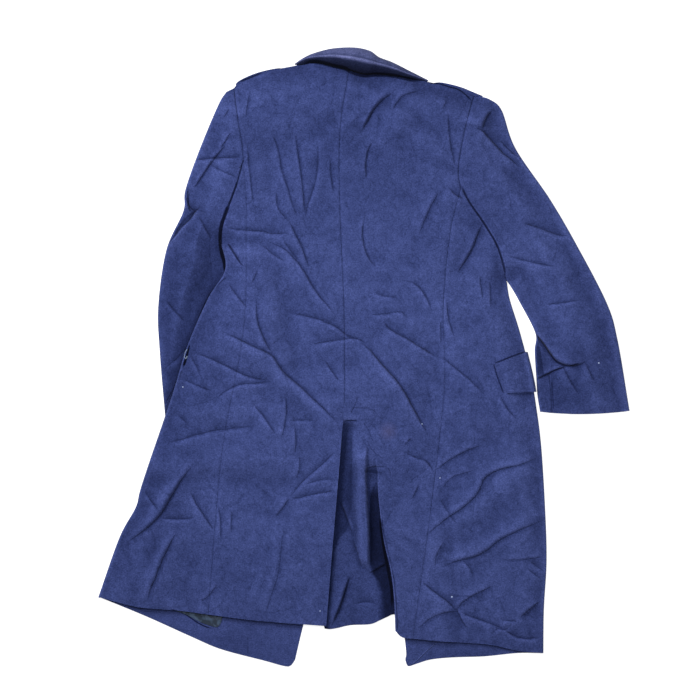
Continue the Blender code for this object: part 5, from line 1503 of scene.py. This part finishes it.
def wool(name, light, dark, nap=0.5, sheen=0.07):
    """Milled wool: woolly mottling over several sizes, painted light on the ridges and painted shade in
    creases and shadows, and a faint sheen.
    """
    made, tree, shader = material(name, {
        "Roughness": 0.92, "Specular IOR Level": 0.05, "Sheen Weight": sheen, "Sheen Roughness": 0.5,
        "Sheen Tint": (0.72, 0.78, 1.0, 1.0),
    })
    where = node(tree, "TexCoord", {}).outputs["Object"]
    mottle = ramp(tree, noise(tree, where, MOTTLE_SCALE, 4.0, Roughness=1.0), (0.3, dark), (0.7, light))
    waver = noise(tree, where, WAVER_SCALE, 2.0)
    looks = [("crease_" + str(number), CREASE_LINE) for number in range(CREASE_GROUPS)]
    looks.append(("seam", SEAM_LINE))
    lines = [line_groove(tree, layer, waver, *look) for layer, look in looks]
    small_creases, facets = crumpled(tree, where)
    grooves = lines[0]
    for line in lines[1:] + [small_creases]:
        grooves = joined(tree, "ADD", grooves, line)
    # Painted shade in the grooves of the creases, the seams and the faint network
    darker = joined(tree, "MULTIPLY_ADD", grooves, -GROOVE_LOSS, 1.0)
    share = node(tree, "Attribute", {}, attribute_name="tone").outputs["Fac"]
    fibres = ranged(tree, noise(tree, where, FIBRE_SCALE, 1.0), *FIBRE_RANGE, *FIBRE_TONES)
    for term in (joined(tree, "MAXIMUM", darker, LEAST_LIGHT), facets, fibres, deep_shadow(tree)):
        share = joined(tree, "MULTIPLY", share, term)
    # Painted shade turns bluer as it darkens
    powers = {axis: joined(tree, "POWER", share, power) for axis, power in enumerate(SHADOW_POWERS)}
    tone = over(tree, 1.0, mottle, node(tree, "CombineXYZ", powers).outputs[0], blend_type="MULTIPLY")
    cut = node(tree, "Bump", {"Strength": 1.0, "Distance": GROOVE_DEPTH, "Height": grooves}, invert=True)
    fine = noise(tree, where, NAP_SCALE, 2.0, Roughness=0.8)
    bump = node(tree, "Bump", {"Strength": nap, "Distance": NAP_DEPTH, "Height": fine,
                               "Normal": cut.outputs["Normal"]})
    feed(tree, shader, {"Base Color": with_marks(tree, where, tone), "Normal": bump.outputs["Normal"]})
    return made


def satin(name):
    """Crumpled lining satin: painted grey-green glints between painted shade in the hollows."""
    made, tree, shader = material(name, {"Roughness": 0.42, "Specular IOR Level": 0.22})
    folds = noise(tree, node(tree, "TexCoord", {}).outputs["Object"], 120.0, 2.0)
    colour = ramp(tree, folds, (0.42, (0.008, 0.016, 0.032)), (0.62, (0.032, 0.055, 0.1)))
    feed(tree, shader, {"Base Color": colour})
    return made


NAVY = wool("navy_wool_looks", light=(0.0425, 0.0595, 0.186), dark=(0.0215, 0.032, 0.106))
COLLAR_NAVY = wool("navy_collar_looks", light=(0.075, 0.086, 0.2), dark=(0.046, 0.056, 0.138), nap=0.3,
                   sheen=0.02)
SATIN = satin("dark_lining_looks")

BODY_GROUPS = sorted_creases(BODY_CREASES, CREASE_GROUPS)
VENT_GROUPS = sorted_creases(BODY_CREASES + VENT_CREASES, CREASE_GROUPS)
SLEEVE_GROUPS = sorted_creases(LEFT_CREASES + RIGHT_CREASES, CREASE_GROUPS)
FRONTS = ["front_left_cloth", "front_right_cloth"]
# Flat size and area of the cut, in metres, of the pieces that differ from side to side
SLEEVE_CUTS = [
    ("top_sleeve_", (0.27, 0.68), {"left": 0.11, "right": 0.135}),
    ("under_sleeve_", (0.14, 0.5), {"left": 0.04, "right": 0.028}),
]
STRAP_LENGTH = {"left": 0.115, "right": 0.09}
FLAP_HEIGHT = {"left": 0.08, "right": 0.16}


def navy(name, grid, flat, area=None, replaces=None, **more):
    cloth(name + "_cloth", grid, NAVY, replaces or [name], "navy_wool", flat, area, **more)


navy("back_left", left_back_grid(), (0.27, 1.06), 0.205, rests_on=FRONTS, seams=BODY_SEAMS,
     creases=BODY_GROUPS)
grid, shade = right_back_grid()
navy("back_right", grid, (0.38, 1.06), 0.25, ["back_right", "vent_underlap"], rests_on=FRONTS,
     seams=BODY_SEAMS, creases=VENT_GROUPS, shade=shade)
for side in SIDES:
    grid, up = front_panel(side)
    navy("front_" + side, grid, (0.62, 1.12), 0.46, up=up, seams=BODY_SEAMS, creases=BODY_GROUPS)
    for (grid, up), (name, flat, areas) in zip(sleeve_panels(side), SLEEVE_CUTS):
        shade = None
        if side == "left":
            shade = beside(LINES["side_left"], grid[..., 0], grid[..., 1])
        navy(name + side, grid, flat, areas[side], up=up, seams=SLEEVE_SEAMS, creases=SLEEVE_GROUPS,
             shade=shade)
    navy("shoulder_strap_" + side, strap_grid(side), (0.046, STRAP_LENGTH[side]))
    grid, up = flap_grid(side)
    navy("pocket_flap_" + side, grid, (0.065, FLAP_HEIGHT[side]), up=up)
grid, shade = collar_grid()
cloth("collar_cloth", grid, COLLAR_NAVY, ["collar"], "navy_collar_wool", (0.27, 0.065), None, shade=shade)
cloth("lining_left_cloth", lining_grid(), SATIN, ["lining_left"], "dark_lining", (0.09, 0.045), None,
      thickness=LINING)

# Floor, lights and camera
WHITE = (1.0, 1.0, 1.0, 1.0)
bpy.ops.mesh.primitive_plane_add(size=8.0, location=(0.0, 0.0, -0.5 * MM))
floor = bpy.context.object
floor.name = "floor"
floor.data.materials.append(material("pale_floor", {
    "Base Color": (0.5, 0.5, 0.5, 1.0), "Roughness": 0.9, "Emission Color": WHITE, "Emission Strength": 0.8,
})[0])

world = bpy.data.worlds.new("studio")
world.use_nodes = True
feed(world.node_tree, world.node_tree.nodes["Background"], {"Color": WHITE, "Strength": 0.34})
bpy.context.scene.world = world

# Name, place, aim, size in m and power in W
LIGHTS = [
    ("key", (-2.5, 2.0, 2.3), (0.0, 0.0, 0.0), 1.3, 158.0),
    ("overhead", (0.0, 0.05, 1.5), (0.0, 0.05, 0.0), 0.5, 13.0),
]
for name, place, aim, size, power in LIGHTS:
    data = bpy.data.lights.new(name, "AREA")
    data.shape = "SQUARE"
    data.size = size
    data.energy = power
    light = bpy.data.objects.new(name, data)
    light.location = place
    light.rotation_euler = (Vector(aim) - Vector(place)).to_track_quat("-Z", "Y").to_euler()
    bpy.context.scene.collection.objects.link(light)

# Size of a pixel on the coat, the photograph's width and the pixel that lies over the frame's origin
PIXEL = 1.83 * MM
PHOTO_WIDTH = 700
ORIGIN_PIXEL = (365, 358.5)
AIM_HEIGHT = 0.015
LENS = 200.0
SENSOR = 36.0
camera_data = bpy.data.cameras.new("camera")
camera_data.lens = LENS
camera_data.sensor_width = SENSOR
camera_data.clip_end = 50.0
camera = bpy.data.objects.new("camera", camera_data)
camera.location = ((PHOTO_WIDTH / 2 - ORIGIN_PIXEL[0]) * PIXEL, (ORIGIN_PIXEL[1] - PHOTO_WIDTH / 2) * PIXEL,
                   AIM_HEIGHT + LENS / SENSOR * PHOTO_WIDTH * PIXEL)
bpy.context.scene.collection.objects.link(camera)
bpy.context.scene.camera = camera
bpy.context.scene.view_settings.view_transform = "Standard"
